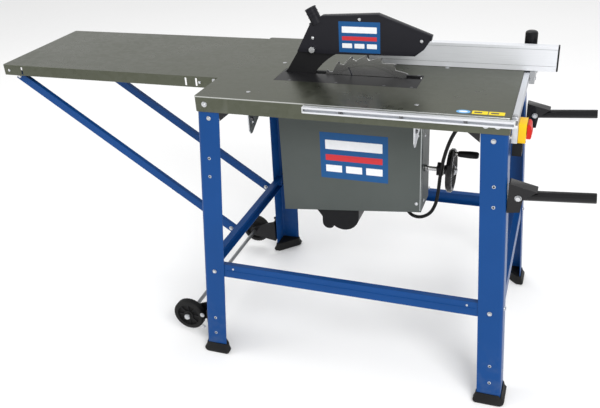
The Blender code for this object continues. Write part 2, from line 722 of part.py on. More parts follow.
def build_lift(steel, cast, black, chrome):
    """Rise and fall: handwheel shaft, bevel pair, upright screw and the carriage with its nut."""
    bevel_near, bevel_far = 0.0080, 0.0140
    tooth, neck = 0.0008, SCREW_X + bevel_far
    shaft = turned(
        [
            (bevel_near - tooth, SCREW_X + bevel_near),
            (bevel_far - tooth, neck),
            (bevel_far - tooth, neck + 0.004),
            (0.0090, neck + 0.005),
            (0.0090, neck + 0.014),
            (SHAFT_RADIUS, neck + 0.014),
            (SHAFT_RADIUS, HOUSING_X[1] + GAP),
            (0.0095, HOUSING_X[1] + GAP),
            (0.0095, HOUSING_X[1] + 0.007),
            (SHAFT_RADIUS, HOUSING_X[1] + 0.009),
            (SHAFT_RADIUS, WHEEL_X + 0.010),
        ],
        "X",
        (SHAFT_Y, SHAFT_Z),
        16,
    )
    part("handwheel_shaft", shaft, chrome, (SCREW_X, SHAFT_Y, SHAFT_Z))

    screw = turned(
        [
            (bevel_near - tooth, SHAFT_Z + bevel_near),
            (bevel_far - tooth, SHAFT_Z + bevel_far),
            (bevel_far - tooth, SHAFT_Z + bevel_far + 0.004),
            (0.0090, SHAFT_Z + bevel_far + 0.005),
            (0.0090, 0.583 - GAP),
            (SHAFT_RADIUS, 0.583 - GAP),
            (SHAFT_RADIUS, 0.740),
        ],
        "Z",
        (SCREW_X, SHAFT_Y),
        16,
    )
    part("lift_screw", screw, steel, (SCREW_X, SHAFT_Y, SHAFT_Z))
    build_handwheel(black, chrome)

    slide_y = HOUSING_Y[1] - HOUSING_SHEET - GAP
    plate = box((-0.215, 0.045), (slide_y - 0.005, slide_y), (0.648, 0.744))
    arm = box((-0.222, -0.190), (-0.092, slide_y), (0.648, 0.668))
    lug = box((-0.222, -0.190), (BLADE_Y + 0.0015 + GAP, BLADE_Y + 0.0095), (0.660, 0.716))
    carriage = cut(
        fuse(plate, arm, lug),
        rod("Y", (BLADE_X, ARBOR_Z), 0.0185, slide_y - 0.02, slide_y + 0.02, 24),
        rod("Z", (SCREW_X, SHAFT_Y), SHAFT_RADIUS + GAP, 0.60, 0.70),
    )
    part("lift_carriage", carriage, cast, (BLADE_X, BLADE_Y, ARBOR_Z))


def build_handwheel(black, chrome):
    """Dished handwheel on its shaft, the locking star behind it, and the crank grip turning on its pin."""
    centre = (SHAFT_Y, SHAFT_Z)
    bore, rim = SHAFT_RADIUS + GAP, HANDWHEEL_RADIUS
    profile = (
        (bore, -0.019),
        (0.0130, -0.019),
        (0.0150, -0.010),
        (0.0200, -0.006),
        (rim - 0.016, -0.004),
        (rim - 0.010, -0.0085),
        (rim - 0.004, -0.0085),
        (rim, -0.004),
        (rim, 0.003),
        (rim - 0.004, 0.0075),
        (rim - 0.010, 0.0075),
        (rim - 0.016, 0.001),
        (0.0200, 0.000),
        (0.0130, 0.008),
        (bore, 0.008),
    )
    wheel = turned([(r, WHEEL_X + x) for r, x in profile], "X", centre, 32, bored=True)
    pin_at = (SHAFT_Y, SHAFT_Z + CRANK_RADIUS)
    boss = rod("X", pin_at, 0.0085, WHEEL_X - 0.008, WHEEL_X + 0.0085)
    crank_hole = rod("X", pin_at, 0.0040 + GAP, WHEEL_X - 0.02, WHEEL_X + 0.02, 12)
    part("handwheel", cut(fuse(wheel, boss), crank_hole), black, (WHEEL_X, *centre))

    pin = turned(
        [
            (0.0040, WHEEL_X - 0.007),
            (0.0040, WHEEL_X + 0.0085 + GAP),
            (0.0060, WHEEL_X + 0.0085 + GAP),
            (0.0060, WHEEL_X + 0.0150),
            (0.0035, WHEEL_X + 0.0160),
            (0.0035, WHEEL_X + 0.0700),
        ],
        "X",
        pin_at,
        12,
    )
    part("crank_pin", pin, chrome, (WHEEL_X, *centre))
    start = WHEEL_X + 0.0160
    grip = turned(
        [
            (0.0035 + GAP, start),
            (0.0075, start),
            (0.0085, start + 0.006),
            (0.0098, start + 0.030),
            (0.0095, start + 0.048),
            (0.0070, start + 0.053),
            (0.0035 + GAP, start + 0.053),
        ],
        "X",
        pin_at,
        16,
        bored=True,
    )
    part("crank_grip", grip, black, (start, *pin_at))

    star = cut(star_disc(centre, 0.0165, 0.0025, 0.2045, 0.2215), rod("X", centre, bore, 0.19, 0.23))
    part("shaft_lock_knob", star, black, (0.2045, *centre))


def star_disc(centre, radius, lobe, low, high):
    """A five-lobed disc, as star knobs have."""
    points = []
    for i in range(40):
        angle = 2 * pi * i / 40
        reach = radius + lobe * cos(5 * angle)
        points.append((centre[0] + reach * cos(angle), centre[1] + reach * sin(angle)))
    return prism(points, "X", low, high)


def build_motor(black, grey, steel):
    outside = HOUSING_Y[1] + GAP
    inside = HOUSING_Y[1] - HOUSING_SHEET
    centre = (BLADE_X, ARBOR_Z)
    body = turned(
        [
            (0.0300, inside),
            (0.0300, outside + 0.002),
            (0.0560, outside + 0.002),
            (0.0560, outside + 0.012),
            (0.0620, outside + 0.014),
            (0.0620, outside + 0.175),
            (0.0560, outside + 0.178),
        ],
        "Y",
        centre,
        32,
    )
    terminal = box((BLADE_X + 0.020, BLADE_X + 0.084), (outside + 0.050, outside + 0.130), (0.655, 0.712))
    bore = rod("Y", centre, 0.0130 + GAP, inside - 0.01, outside + 0.024, 20)
    part("motor_body", cut(fuse(body, terminal), bore), grey, (BLADE_X, BLADE_Y, ARBOR_Z))
    cover = turned(
        [
            (0.0610, outside + 0.178 + GAP),
            (0.0630, outside + 0.186),
            (0.0630, outside + 0.222),
            (0.0520, outside + 0.230),
        ],
        "Y",
        centre,
        32,
    )
    part("motor_fan_cover", cover, black, (BLADE_X, BLADE_Y, ARBOR_Z))

    blade_face = BLADE_Y + BLADE_THICKNESS / 2
    arbor = turned(
        [
            (0.0130, outside + 0.022),
            (0.0130, inside - 0.008),
            (0.0165, inside - 0.010),
            (0.0165, blade_face + 0.008),
            (0.0360, blade_face + 0.007),
            (0.0360, blade_face + GAP),
            (BORE_RADIUS - GAP, blade_face + GAP),
            (BORE_RADIUS - GAP, BLADE_Y - 0.0058),
            (0.0100, BLADE_Y - 0.0064),
            (0.0100, BLADE_Y - 0.0240),
        ],
        "Y",
        centre,
        24,
    )
    pivot = (BLADE_X, BLADE_Y, ARBOR_Z)
    part("arbor_shaft", arbor, steel, pivot)

    blade = prism(blade_outline(), "Y", BLADE_Y - BLADE_THICKNESS / 2, BLADE_Y + BLADE_THICKNESS / 2)
    blade = cut(blade, rod("Y", centre, BORE_RADIUS, BLADE_Y - 0.01, BLADE_Y + 0.01, 24))
    part("saw_blade", blade, steel, pivot)

    near = BLADE_Y - BLADE_THICKNESS / 2 - GAP
    nut = fuse(
        rod("Y", centre, 0.0360, near - 0.0060, near, 24),
        rod("Y", centre, 0.0180, near - 0.0185, near - 0.0050, 6),
    )
    nut = cut(
        nut,
        rod("Y", centre, 0.0100 + GAP, near - 0.03, near + 0.01, 16),
        rod("Y", centre, BORE_RADIUS, near - 0.0052, near + 0.01, 24),
    )
    part("arbor_flange_nut", nut, steel, pivot)


def blade_outline():
    """Teeth around the blade: each rises from a round gullet to its tip and drops steeply."""
    points = []
    step = 2 * pi / BLADE_TEETH
    gullet = ((0.06, BLADE_BODY + 0.001), (0.22, BLADE_BODY - 0.004), (0.45, BLADE_BODY))
    tooth = ((0.00, BLADE_RADIUS), *gullet, (0.80, BLADE_RADIUS - 0.003))
    for i in range(BLADE_TEETH):
        for share, radius in tooth:
            angle = -step * (i + share)
            points.append((BLADE_X + radius * cos(angle), ARBOR_Z + radius * sin(angle)))
    return points


def build_knife(black):
    """Riving knife: a curved plate behind the blade that also carries the hood."""
    radius, top_angle, foot_angle, steps = 0.178, radians(113), radians(182), 10
    front = []
    for i in range(steps + 1):
        angle = top_angle + (foot_angle - top_angle) * i / steps
        front.append((BLADE_X + radius * cos(angle), ARBOR_Z + radius * sin(angle)))
    back = [(-0.190, 0.672), (-0.2265, 0.672), (-0.2280, 0.800), (-0.1760, 0.882), (-0.100, 0.882)]
    plate = prism([*front, *back], "Y", BLADE_Y - 0.0015, BLADE_Y + 0.0015)
    hole = rod("Y", HOOD_BOLT, 0.0040 + GAP, BLADE_Y - 0.01, BLADE_Y + 0.01, 12)
    part("riving_knife", cut(plate, hole), black, (BLADE_X, BLADE_Y, ARBOR_Z))


def build_guard(black, chrome):
    """Narrow blade hood: two cheeks under a top edge, open below and at its heel, and the clamping bolt."""
    half = HOOD_WIDTH / 2
    hood = prism(HOOD_OUTLINE, "Y", BLADE_Y - half, BLADE_Y + half)
    room = prism(HOOD_ROOM, "Y", BLADE_Y - half + HOOD_WALL, BLADE_Y + half - HOOD_WALL)
    port_at = Vector((-0.1330, BLADE_Y, 0.9440))
    lean = atan2(0.43, 0.90)
    spigot = tube("Z", port_at.xy, PORT_RADIUS, PORT_BORE, port_at.z - 0.006, port_at.z + PORT_LENGTH)
    throat = rod("Z", port_at.xy, PORT_BORE / 2.4, port_at.z - 0.02, port_at.z + 0.02)
    bolt_hole = rod("Y", HOOD_BOLT, 0.0040 + GAP, BLADE_Y - 0.03, BLADE_Y + 0.03, 12)
    hood = cut(
        fuse(cut(hood, room), turn(spigot, -lean, "Y", port_at)), turn(throat, -lean, "Y", port_at), bolt_hole
    )
    pivot = (HOOD_BOLT[0], BLADE_Y, HOOD_BOLT[1])
    part("guard_hood", hood, black, pivot)

    bolt = turned(
        [
            (0.0085, BLADE_Y - half - 0.009),
            (0.0085, BLADE_Y - half - GAP),
            (0.0040, BLADE_Y - half - GAP),
            (0.0040, BLADE_Y + half + GAP),
            (0.0075, BLADE_Y + half + GAP),
            (0.0075, BLADE_Y + half + 0.006),
        ],
        "Y",
        HOOD_BOLT,
        12,
    )
    part("guard_clamp_bolt", bolt, chrome, pivot)


def build_fence(aluminium, black, grey):
    base = TABLE_TOP + GAP
    outline = (
        (FENCE_Y, base),
        (FENCE_Y + FENCE_DEPTH, base),
        (FENCE_Y + FENCE_DEPTH, base + 0.020),
        (FENCE_Y + 0.014, base + 0.020),
        (FENCE_Y + 0.014, base + 0.030),
        (FENCE_Y + FENCE_DEPTH, base + 0.030),
        (FENCE_Y + FENCE_DEPTH, base + FENCE_HEIGHT),
        (FENCE_Y, base + FENCE_HEIGHT),
    )
    part("fence_profile", prism(outline, "X", *FENCE_X), aluminium)
    back = FENCE_Y + FENCE_DEPTH + GAP
    rail_front = FRONT_RAIL_X[1] + GAP
    over = box((0.372, rail_front + 0.013), (back, back + 0.056), (TABLE_TOP + GAP, TABLE_TOP + 0.026))
    lip_z = (TABLE_TOP - 0.034, TABLE_TOP - GAP)
    lip = box((rail_front, rail_front + 0.013), (FENCE_Y - 0.004, back + 0.056), lip_z)
    web = box((rail_front, rail_front + 0.013), (back, back + 0.056), (TABLE_TOP - 0.010, TABLE_TOP + 0.010))
    tongue = box((0.386, 0.400), (FENCE_Y + 0.0145, back + 0.010), (TABLE_TOP + 0.0215, TABLE_TOP + 0.0255))
    carrier = fuse(over, lip, web, tongue)
    knob_centre = (0.408, back + 0.024)
    carrier = cut(carrier, rod("Z", knob_centre, 0.0050 + GAP, TABLE_TOP - 0.001, TABLE_TOP + 0.05, 12))
    part("fence_carrier", carrier, grey)
    knob = turned(
        [
            (0.0050, TABLE_TOP + 0.002),
            (0.0050, TABLE_TOP + 0.052),
            (0.0125, TABLE_TOP + 0.054),
            (0.0135, TABLE_TOP + 0.060),
            (0.0160, TABLE_TOP + 0.086),
            (0.0150, TABLE_TOP + 0.092),
            (0.0110, TABLE_TOP + 0.094),
        ],
        "Z",
        knob_centre,
        20,
    )
    part("fence_clamp_knob", knob, black, (*knob_centre, TABLE_TOP))


def build_tilt_lock(black):
    """Star knob whose bolt passes through the quadrant's arc slot into the housing."""
    centre = (BLADE_Y, TILT_Z - 0.085)
    face = HOUSING_X[1] + 0.004 + 2 * GAP + 0.003 + GAP
    bolt = turned(
        [(0.0040, HOUSING_X[1] - 0.006), (0.0040, face), (0.0090, face), (0.0090, face + 0.005)], "X", centre, 12
    )
    star = star_disc(centre, 0.0165, 0.0025, face + 0.004, face + 0.018)
    part("tilt_lock_knob", fuse(star, bolt), black, (face, *centre))


def smooth_route(points, spacing):
    """Evenly spaced points on a Catmull-Rom curve through the route."""
    route = [Vector(p) for p in points]
    ends = [route[0] * 2 - route[1], *route, route[-1] * 2 - route[-2]]
    fine = []
    for before, start, stop, after in zip(ends, ends[1:], ends[2:], ends[3:]):
        for i in range(12):
            t = i / 12
            bend = (2 * before - 5 * start + 4 * stop - after) * t**2
            twist = (3 * start - before - 3 * stop + after) * t**3
            fine.append(0.5 * (2 * start + (stop - before) * t + bend + twist))
    fine.append(route[-1])
    kept, travelled = [fine[0]], 0.0
    for last, following in zip(fine, fine[1:]):
        travelled += (following - last).length
        if travelled >= spacing:
            kept.append(following)
            travelled = 0.0
    kept[-1] = fine[-1]
    return kept


def build_cable(rubber, black):
    """The motor's cable, from the gland under the table to the motor's terminal box."""
    profile = [(0.0075, 0.7836), (0.0075, 0.7870), (0.0110, 0.7870), (0.0110, TABLE_TOP - SHEET - GAP)]
    part("cable_gland", turned(profile, "Z", CABLE_ROUTE[0][:2], 6), black)
    points = smooth_route(CABLE_ROUTE, 0.012)
    curve = bpy.data.curves.new("motor_cable", "CURVE")
    curve.dimensions = "3D"
    curve.bevel_depth = CABLE_RADIUS
    curve.bevel_resolution = 2
    curve.use_fill_caps = True
    spline = curve.splines.new("POLY")
    spline.points.add(len(points) - 1)
    for place, point in zip(spline.points, points):
        place.co = (*point, 1.0)
    curve.materials.append(rubber)
    cable = bpy.data.objects.new("motor_cable", curve)
    cable.location = (TABLE_X, 0.0, 0.0)
    bpy.context.scene.collection.objects.link(cable)


def build_saw():
    clear_scene()
    galvanised = make_material("galvanised_sheet", (0.30, 0.31, 0.28), 0.32, 0.85)
    housing_grey = make_material("housing_grey", (0.22, 0.24, 0.22), 0.45, 0.3)
    blue = make_material("blue_paint", (0.015, 0.09, 0.34), 0.38)
    black_steel = make_material("black_paint", (0.02, 0.02, 0.022), 0.45)
    black_plastic = make_material("black_plastic", (0.012, 0.012, 0.013), 0.40)
    rubber = make_material("black_rubber", (0.02, 0.02, 0.02), 0.75)
    steel = make_material("bright_steel", (0.60, 0.60, 0.60), 0.28, 1.0)
    zinc = make_material("zinc_plated", (0.55, 0.56, 0.58), 0.35, 1.0)
    aluminium = make_material("aluminium_extrusion", (0.75, 0.76, 0.78), 0.35, 1.0)
    cast = make_material("cast_iron", (0.20, 0.20, 0.21), 0.55, 0.8)
    yellow = make_material("yellow_plastic", (0.85, 0.55, 0.02), 0.40)
    red = make_material("red_plastic", (0.60, 0.02, 0.02), 0.38)
    green = make_material("green_plastic", (0.02, 0.35, 0.06), 0.38)

    build_table(galvanised, black_steel)
    build_extension(galvanised, blue)
    build_legs(blue, rubber)
    build_crossbars(blue)
    build_rails(aluminium)
    build_hangers(zinc)
    build_road_wheels(black_steel, zinc, rubber)
    build_handles(black_steel)
    build_switch(black_plastic, zinc, yellow, red, green)
    build_tilt_supports(zinc)
    build_housing(housing_grey, black_plastic)
    build_lift(zinc, cast, black_plastic, steel)
    build_motor(black_plastic, cast, steel)
    build_knife(black_steel)
    build_guard(black_steel, zinc)
    build_fence(aluminium, black_plastic, housing_grey)
    build_tilt_lock(black_plastic)
    build_cable(rubber, black_plastic)


build_saw()
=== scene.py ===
import json
import math

import bmesh
import bpy
from mathutils import Matrix, Vector


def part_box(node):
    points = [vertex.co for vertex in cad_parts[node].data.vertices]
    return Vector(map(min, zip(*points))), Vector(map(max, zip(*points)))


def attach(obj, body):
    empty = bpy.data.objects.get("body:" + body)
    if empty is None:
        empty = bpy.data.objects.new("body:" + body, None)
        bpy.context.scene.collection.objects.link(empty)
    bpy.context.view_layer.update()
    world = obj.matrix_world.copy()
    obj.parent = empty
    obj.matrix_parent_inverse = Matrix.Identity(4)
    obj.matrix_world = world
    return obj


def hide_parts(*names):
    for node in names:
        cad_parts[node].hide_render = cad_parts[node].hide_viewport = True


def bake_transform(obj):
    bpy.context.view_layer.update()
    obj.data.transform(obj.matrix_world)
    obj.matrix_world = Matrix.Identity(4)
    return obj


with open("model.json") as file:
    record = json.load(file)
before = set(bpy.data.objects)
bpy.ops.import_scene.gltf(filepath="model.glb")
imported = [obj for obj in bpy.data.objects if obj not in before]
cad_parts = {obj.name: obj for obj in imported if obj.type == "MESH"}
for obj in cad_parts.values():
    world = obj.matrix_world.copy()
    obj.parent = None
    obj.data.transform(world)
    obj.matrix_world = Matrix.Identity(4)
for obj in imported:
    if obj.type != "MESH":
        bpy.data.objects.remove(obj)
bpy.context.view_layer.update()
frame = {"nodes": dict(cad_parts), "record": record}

# The room: a pale matt floor under soft white light, and the eye of somebody who stands in front of
# the saw's near right corner. Everything is placed from the middle of the saw table.
scene = bpy.context.scene
table_low, table_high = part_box("table_top")
middle_x = (table_low.x + table_high.x) / 2
near_y, far_y, top_z = table_low.y, table_high.y, table_high.z

eye = Vector((middle_x + 0.507, -1.880, 1.440))
yaw, pitch, roll = 0.374, -0.492, -0.066
forward = Vector((-math.sin(yaw) * math.cos(pitch), math.cos(yaw) * math.cos(pitch), math.sin(pitch)))
level = forward.cross(Vector((0.0, 0.0, 1.0))).normalized()
lift = level.cross(forward)
across = level * math.cos(roll) + lift * math.sin(roll)
upright = lift * math.cos(roll) - level * math.sin(roll)
camera_data = bpy.data.cameras.new("camera")
camera_data.sensor_width, camera_data.lens = 36.0, 44.13
camera = bpy.data.objects.new("camera", camera_data)
camera.matrix_world = Matrix.Translation(eye) @ Matrix((across, upright, -forward)).transposed().to_4x4()
scene.collection.objects.link(camera)
scene.camera = camera


class Wire:
    """The output of a node, which ordinary sums can use."""

    def __init__(self, paint, socket):
        self.paint, self.socket = paint, socket

    def sum(self, operation, first, second):
        return self.paint.node("ShaderNodeMath", {"operation": operation}, {0: first, 1: second})

    def __add__(self, other):
        return self.sum("ADD", self, other)

    def __radd__(self, other):
        return self.sum("ADD", other, self)

    def __sub__(self, other):
        return self.sum("SUBTRACT", self, other)

    def __rsub__(self, other):
        return self.sum("SUBTRACT", other, self)

    def __mul__(self, other):
        return self.sum("MULTIPLY", self, other)

    def __rmul__(self, other):
        return self.sum("MULTIPLY", other, self)

    def __pow__(self, other):
        return self.sum("POWER", self, other)

    def __abs__(self):
        return self.sum("ABSOLUTE", self, 0.0)

    def __lt__(self, other):
        return self.sum("LESS_THAN", self, other)


class Paint:
    """A finish: one material whose Principled shader is fed by nodes."""

    def __init__(self, name, **constants):
        self.material = bpy.data.materials.new(name)
        self.material.use_nodes = True
        self.tree = self.material.node_tree
        self.shader = self.tree.nodes["Principled BSDF"]
        for socket, value in constants.items():
            self.shader.inputs[socket.replace("_", " ")].default_value = value

    def node(self, kind, settings=None, sockets=None, output=0):
        made = self.tree.nodes.new(kind)
        for name, value in (settings or {}).items():
            setattr(made, name, value)
        for name, value in (sockets or {}).items():
            self.join(made.inputs[name], value)
        return Wire(self, made.outputs[output])

    def join(self, socket, value):
        if isinstance(value, Wire):
            self.tree.links.new(value.socket, socket)
        elif socket.type == "RGBA" and len(value) == 3:
            socket.default_value = (*value, 1.0)
        else:
            socket.default_value = value

    def place(self, stretch=(1.0, 1.0, 1.0)):
        """Where a point is, in the object's own metres, stretched along each axis."""
        own = self.node("ShaderNodeTexCoord", output="Object")
        return self.node("ShaderNodeMapping", sockets={"Vector": own, "Scale": stretch})

    def axes(self):
        own = self.node("ShaderNodeTexCoord", output="Object")
        return [self.node("ShaderNodeSeparateXYZ", sockets={0: own}, output=i) for i in range(3)]

    def noise(self, place, scale, detail=3.0, roughness=0.55):
        values = {"Vector": place, "Scale": scale, "Detail": detail, "Roughness": roughness}
        return self.node("ShaderNodeTexNoise", sockets=values)

    def ramp(self, amount, low, high):
        """0 at low and 1 at high, held flat past either. Low may be the larger of the two."""
        values = {0: amount, 1: low, 2: high, 3: 0.0, 4: 1.0}
        return self.node("ShaderNodeMapRange", {"clamp": True}, values)

    def mix(self, share, first, second):
        return self.node("ShaderNodeMix", {"data_type": "RGBA"}, {0: share, 6: first, 7: second}, 2)

    def bump(self, height, depth, strength=1.0):
        values = {"Strength": strength, "Distance": depth, "Height": height}
        self.feed(Normal=self.node("ShaderNodeBump", sockets=values))

    def feed(self, **sockets):
        for name, value in sockets.items():
            self.join(self.shader.inputs[name.replace("_", " ")], value)
        return self.material


def matt_floor():
    paint = Paint("matt_floor")
    cloud = paint.noise(paint.place(), 1.5)
    colour = paint.mix(cloud, (0.93, 0.93, 0.93), (0.95, 0.95, 0.95))
    return paint.feed(Base_Color=colour, Roughness=0.85 + cloud * 0.1)


def link_mesh(name, mesh):
    made = bpy.data.objects.new(name, mesh)
    scene.collection.objects.link(made)
    return made


floor_mesh = bpy.data.meshes.new("floor")
floor_reach, floor_drop = 12.0, 0.001
floor_signs = ((-1, -1), (1, -1), (1, 1), (-1, 1))
floor_corners = [(x * floor_reach, y * floor_reach, -floor_drop) for x, y in floor_signs]
floor_mesh.from_pydata(floor_corners, [], [(0, 1, 2, 3)])
floor_mesh.materials.append(matt_floor())
link_mesh("floor", floor_mesh)

world = bpy.data.worlds.new("soft_white")
world.use_nodes = True
sky = world.node_tree.nodes["Background"].inputs
sky["Color"].default_value = (1.0, 1.0, 1.0, 1.0)
sky["Strength"].default_value = 0.80
scene.world = world
scene.view_settings.view_transform = "Standard"


def soft_light(name, place, target, width, watts):
    lamp = bpy.data.lights.new(name, "AREA")
    lamp.shape, lamp.size, lamp.size_y, lamp.energy = "RECTANGLE", width, width * 0.7, watts
    made = bpy.data.objects.new(name, lamp)
    aim = (Vector(target) - Vector(place)).to_track_quat("-Z", "Y")
    made.matrix_world = Matrix.Translation(place) @ aim.to_matrix().to_4x4()
    scene.collection.objects.link(made)


soft_light("key_light", (middle_x + 2.2, -3.0, 3.2), (middle_x, 0.0, 0.6), 2.2, 130.0)
soft_light("fill_light", (middle_x - 3.4, -1.2, 2.2), (middle_x - 0.3, 0.0, 0.5), 2.0, 35.0)
soft_light("back_light", (middle_x - 0.8, 1.8, 3.8), (middle_x, 0.0, 0.7), 2.0, 25.0)


# The saw table: one folded tray of hot-dip galvanised steel with rolled corners. The zinc has a faint
# spangle, long draw lines, fine scratches and a thin painted highlight along its near and far rims.
def galvanised():
    paint = Paint("galvanised_sheet", Metallic=0.85)
    _, y, z = paint.axes()
    cells = paint.node("ShaderNodeTexVoronoi", {}, {"Vector": paint.place(), "Scale": 70.0}, "Color")
    spangle = paint.node("ShaderNodeSeparateColor", {}, {0: cells}, 0)
    drawn = paint.noise(paint.place((1.0, 26.0, 26.0)), 9.0, 4.0)
    cloud = paint.noise(paint.place(), 5.0, 4.0)
    scratched = paint.ramp(paint.noise(paint.place((3.0, 160.0, 1.0)), 3.0, 2.0), 0.66, 0.76)
    grey = paint.mix(cloud, (0.066, 0.071, 0.048), (0.096, 0.103, 0.074))
    grey = paint.mix(spangle * 0.22 + drawn * 0.18, grey, (0.135, 0.142, 0.115))
    # Painted highlight: a thin light line along the top of the near and far rims stands for light caught on
    # the edge; the scratches mixed in with it are real wear.
    high = paint.ramp(z, top_z - 0.0030, top_z - 0.0010)
    outer = paint.ramp(abs(y), far_y - 0.0024, far_y - 0.0010)
    rim_highlight = high * outer
    grey = paint.mix(rim_highlight * 0.8 + scratched * 0.12, grey, (0.62, 0.63, 0.61))
    paint.bump(drawn * 0.6 + spangle * 0.4, 0.00006)
    return paint.feed(Base_Color=grey, Roughness=0.20 + 0.16 * cloud + 0.08 * spangle)


zinc_sheet = galvanised()


def piece(name, mesh, material, body, smooth=True):
    """A finished piece of its own, riding on a body."""
    mesh.materials.clear()
    mesh.materials.append(material)
    if smooth:
        mesh.shade_smooth()
        mesh.set_sharp_from_angle(angle=math.radians(35))
    made = link_mesh(name, mesh)
    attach(made, body)
    return made


body_of = {node: body for body, nodes in frame["record"]["behaviour"]["bodies"].items() for node in nodes}


def finish_node(node, material):
    """A merged copy of a CAD solid stands for it, with its finish, smooth round faces and eased edges."""
    shape = bmesh.new()
    shape.from_mesh(frame["nodes"][node].data)
    bmesh.ops.remove_doubles(shape, verts=shape.verts, dist=1e-5)
    bmesh.ops.dissolve_limit(shape, angle_limit=math.radians(0.5), verts=shape.verts, edges=shape.edges)
    mesh = bpy.data.meshes.new(node)
    shape.to_mesh(mesh)
    shape.free()
    made = piece(f"{node}_skin", mesh, material, body_of[node])
    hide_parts(node)
    rounding = made.modifiers.new("eased_edges", "BEVEL")
    rounding.width, rounding.segments, rounding.harden_normals = 0.0005, 2, True
    rounding.limit_method, rounding.angle_limit = "ANGLE", math.radians(35)


for node in ("table_top", "extension_table"):
    finish_node(node, zinc_sheet)


def from_shape(name, shape):
    bmesh.ops.recalc_face_normals(shape, faces=shape.faces)
    mesh = bpy.data.meshes.new(name)
    shape.to_mesh(mesh)
    shape.free()
    return mesh


def raised(outline, to_world, height, ease=0.0):
    """A flat outline given a height, its rim eased, and put in place by a matrix."""
    shape = bmesh.new()
    face = shape.faces.new([shape.verts.new((x, y, 0.0)) for x, y in outline])
    grown = bmesh.ops.extrude_face_region(shape, geom=[face])["geom"]
    lifted = [v for v in grown if isinstance(v, bmesh.types.BMVert)]
    bmesh.ops.translate(shape, verts=lifted, vec=(0.0, 0.0, height))
    if ease:
        rim = [e for e in shape.edges if all(v in lifted for v in e.verts)]
        bmesh.ops.bevel(shape, geom=rim, offset=ease, segments=2, profile=0.5, affect="EDGES")
    bmesh.ops.transform(shape, matrix=to_world, verts=shape.verts)
    return shape


def facing(centre, out, along=(1.0, 0.0, 0.0)):
    """A matrix whose Z points out of a face, whose X runs along it, and whose origin is centre."""
    z = Vector(out).normalized()
    x = (Vector(along) - z * Vector(along).dot(z)).normalized()
    return Matrix.Translation(centre) @ Matrix((x, z.cross(x), z)).transposed().to_4x4()


def rounded(width, height, radius, steps=4):
    points = []
    for sx, sy, start in ((1, 1, 0), (-1, 1, 90), (-1, -1, 180), (1, -1, 270)):
        for i in range(steps + 1):
            turn = math.radians(start + 90 * i / steps)
            points.append(
                (
                    sx * (width / 2 - radius) + radius * math.cos(turn),
                    sy * (height / 2 - radius) + radius * math.sin(turn),
                )
            )
    return points


def node_tree(name, inputs):
    """An empty geometry node tree with its named inputs, and a function that adds a node to it."""
    tree = bpy.data.node_groups.new(name, "GeometryNodeTree")
    tree.interface.new_socket("Geometry", in_out="INPUT", socket_type="NodeSocketGeometry")
    for label, kind in inputs:
        tree.interface.new_socket(label, in_out="INPUT", socket_type=kind)
    tree.interface.new_socket("Geometry", in_out="OUTPUT", socket_type="NodeSocketGeometry")

    def add(kind, settings=None, sockets=None):
        made = tree.nodes.new(kind)
        for label, value in (settings or {}).items():
            setattr(made, label, value)
        for label, value in (sockets or {}).items():
            for one in value if isinstance(value, list) else [value]:
                if isinstance(one, bpy.types.NodeSocket):
                    tree.links.new(one, made.inputs[label])
                else:
                    made.inputs[label].default_value = one
        return made

    return tree, add


def fastener_tree():
    """A bolt or screw head on a washer at every point, turned to the point's own facing."""
    number, whole = "NodeSocketFloat", "NodeSocketInt"
    inputs = (("Radius", number), ("Height", number), ("Washer", number), ("Sides", whole))
    tree, add = node_tree("fasteners", (*inputs, ("Paint", "NodeSocketMaterial")))
    given = add("NodeGroupInput").outputs

    def times(socket, share):
        return add("ShaderNodeMath", {"operation": "MULTIPLY"}, {0: socket, 1: share}).outputs[0]

    def ring(sides, low, high, wide, narrow):
        sizes = {"Vertices": sides, "Radius Bottom": wide, "Radius Top": narrow}
        cone = add("GeometryNodeMeshCone", {}, {**sizes, "Depth": times(given["Height"], high - low)})
        raise_by = add("ShaderNodeCombineXYZ", {}, {"Z": times(given["Height"], low)})
        moved = {"Geometry": cone.outputs["Mesh"], "Translation": raise_by.outputs[0]}
        return add("GeometryNodeTransform", {}, moved).outputs[0]

    radius, narrow = given["Radius"], times(given["Radius"], 0.82)
    washer = times(radius, given["Washer"])
    parts = [
        ring(24, 0.0, 0.22, washer, times(washer, 0.96)),
        ring(given["Sides"], 0.20, 0.80, radius, radius),
        ring(given["Sides"], 0.78, 1.0, radius, narrow),
    ]
    head = add("GeometryNodeJoinGeometry", {}, {0: parts})
    way = add("GeometryNodeInputNamedAttribute", {"data_type": "FLOAT_VECTOR"}, {"Name": "facing"})
    aim = add("FunctionNodeAlignRotationToVector", {"axis": "Z"}, {"Vector": way.outputs[0]})
    spots = {"Points": given["Geometry"], "Instance": head.outputs[0], "Rotation": aim.outputs[0]}
    placed = add("GeometryNodeInstanceOnPoints", {}, spots)
    real = add("GeometryNodeRealizeInstances", {}, {0: placed.outputs[0]})
    painted = add("GeometryNodeSetMaterial", {}, {"Geometry": real.outputs[0], "Material": given["Paint"]})
    add("NodeGroupOutput", {}, {0: painted.outputs[0]})
    return tree


def grown(tree, seed, values):
    """Runs a node tree on a seed mesh and gives the result as a plain mesh."""
    made = link_mesh("seed", seed)
    modifier = made.modifiers.new("grow", "NODES")
    modifier.node_group = tree
    named = {item.name: item.identifier for item in tree.interface.items_tree if item.in_out == "INPUT"}
    for label, value in values.items():
        modifier[named[label]] = value
    mesh = bpy.data.meshes.new_from_object(made.evaluated_get(bpy.context.evaluated_depsgraph_get()))
    bpy.data.objects.remove(made)
    return mesh


fasteners = fastener_tree()


def fasten(name, spots, material, body, radius, height, sides=6, washer=1.5):
    """Heads at spots, each a place and the way out of the surface there."""
    seed = bpy.data.meshes.new("spots")
    seed.from_pydata([place for place, _ in spots], [], [])
    ways = seed.attributes.new("facing", "FLOAT_VECTOR", "POINT")
    for way, (_, out) in zip(ways.data, spots):
        way.vector = out
    sizes = {"Radius": radius, "Height": height, "Washer": washer, "Sides": sides, "Paint": material}
    piece(name, grown(fasteners, seed, sizes), material, body)


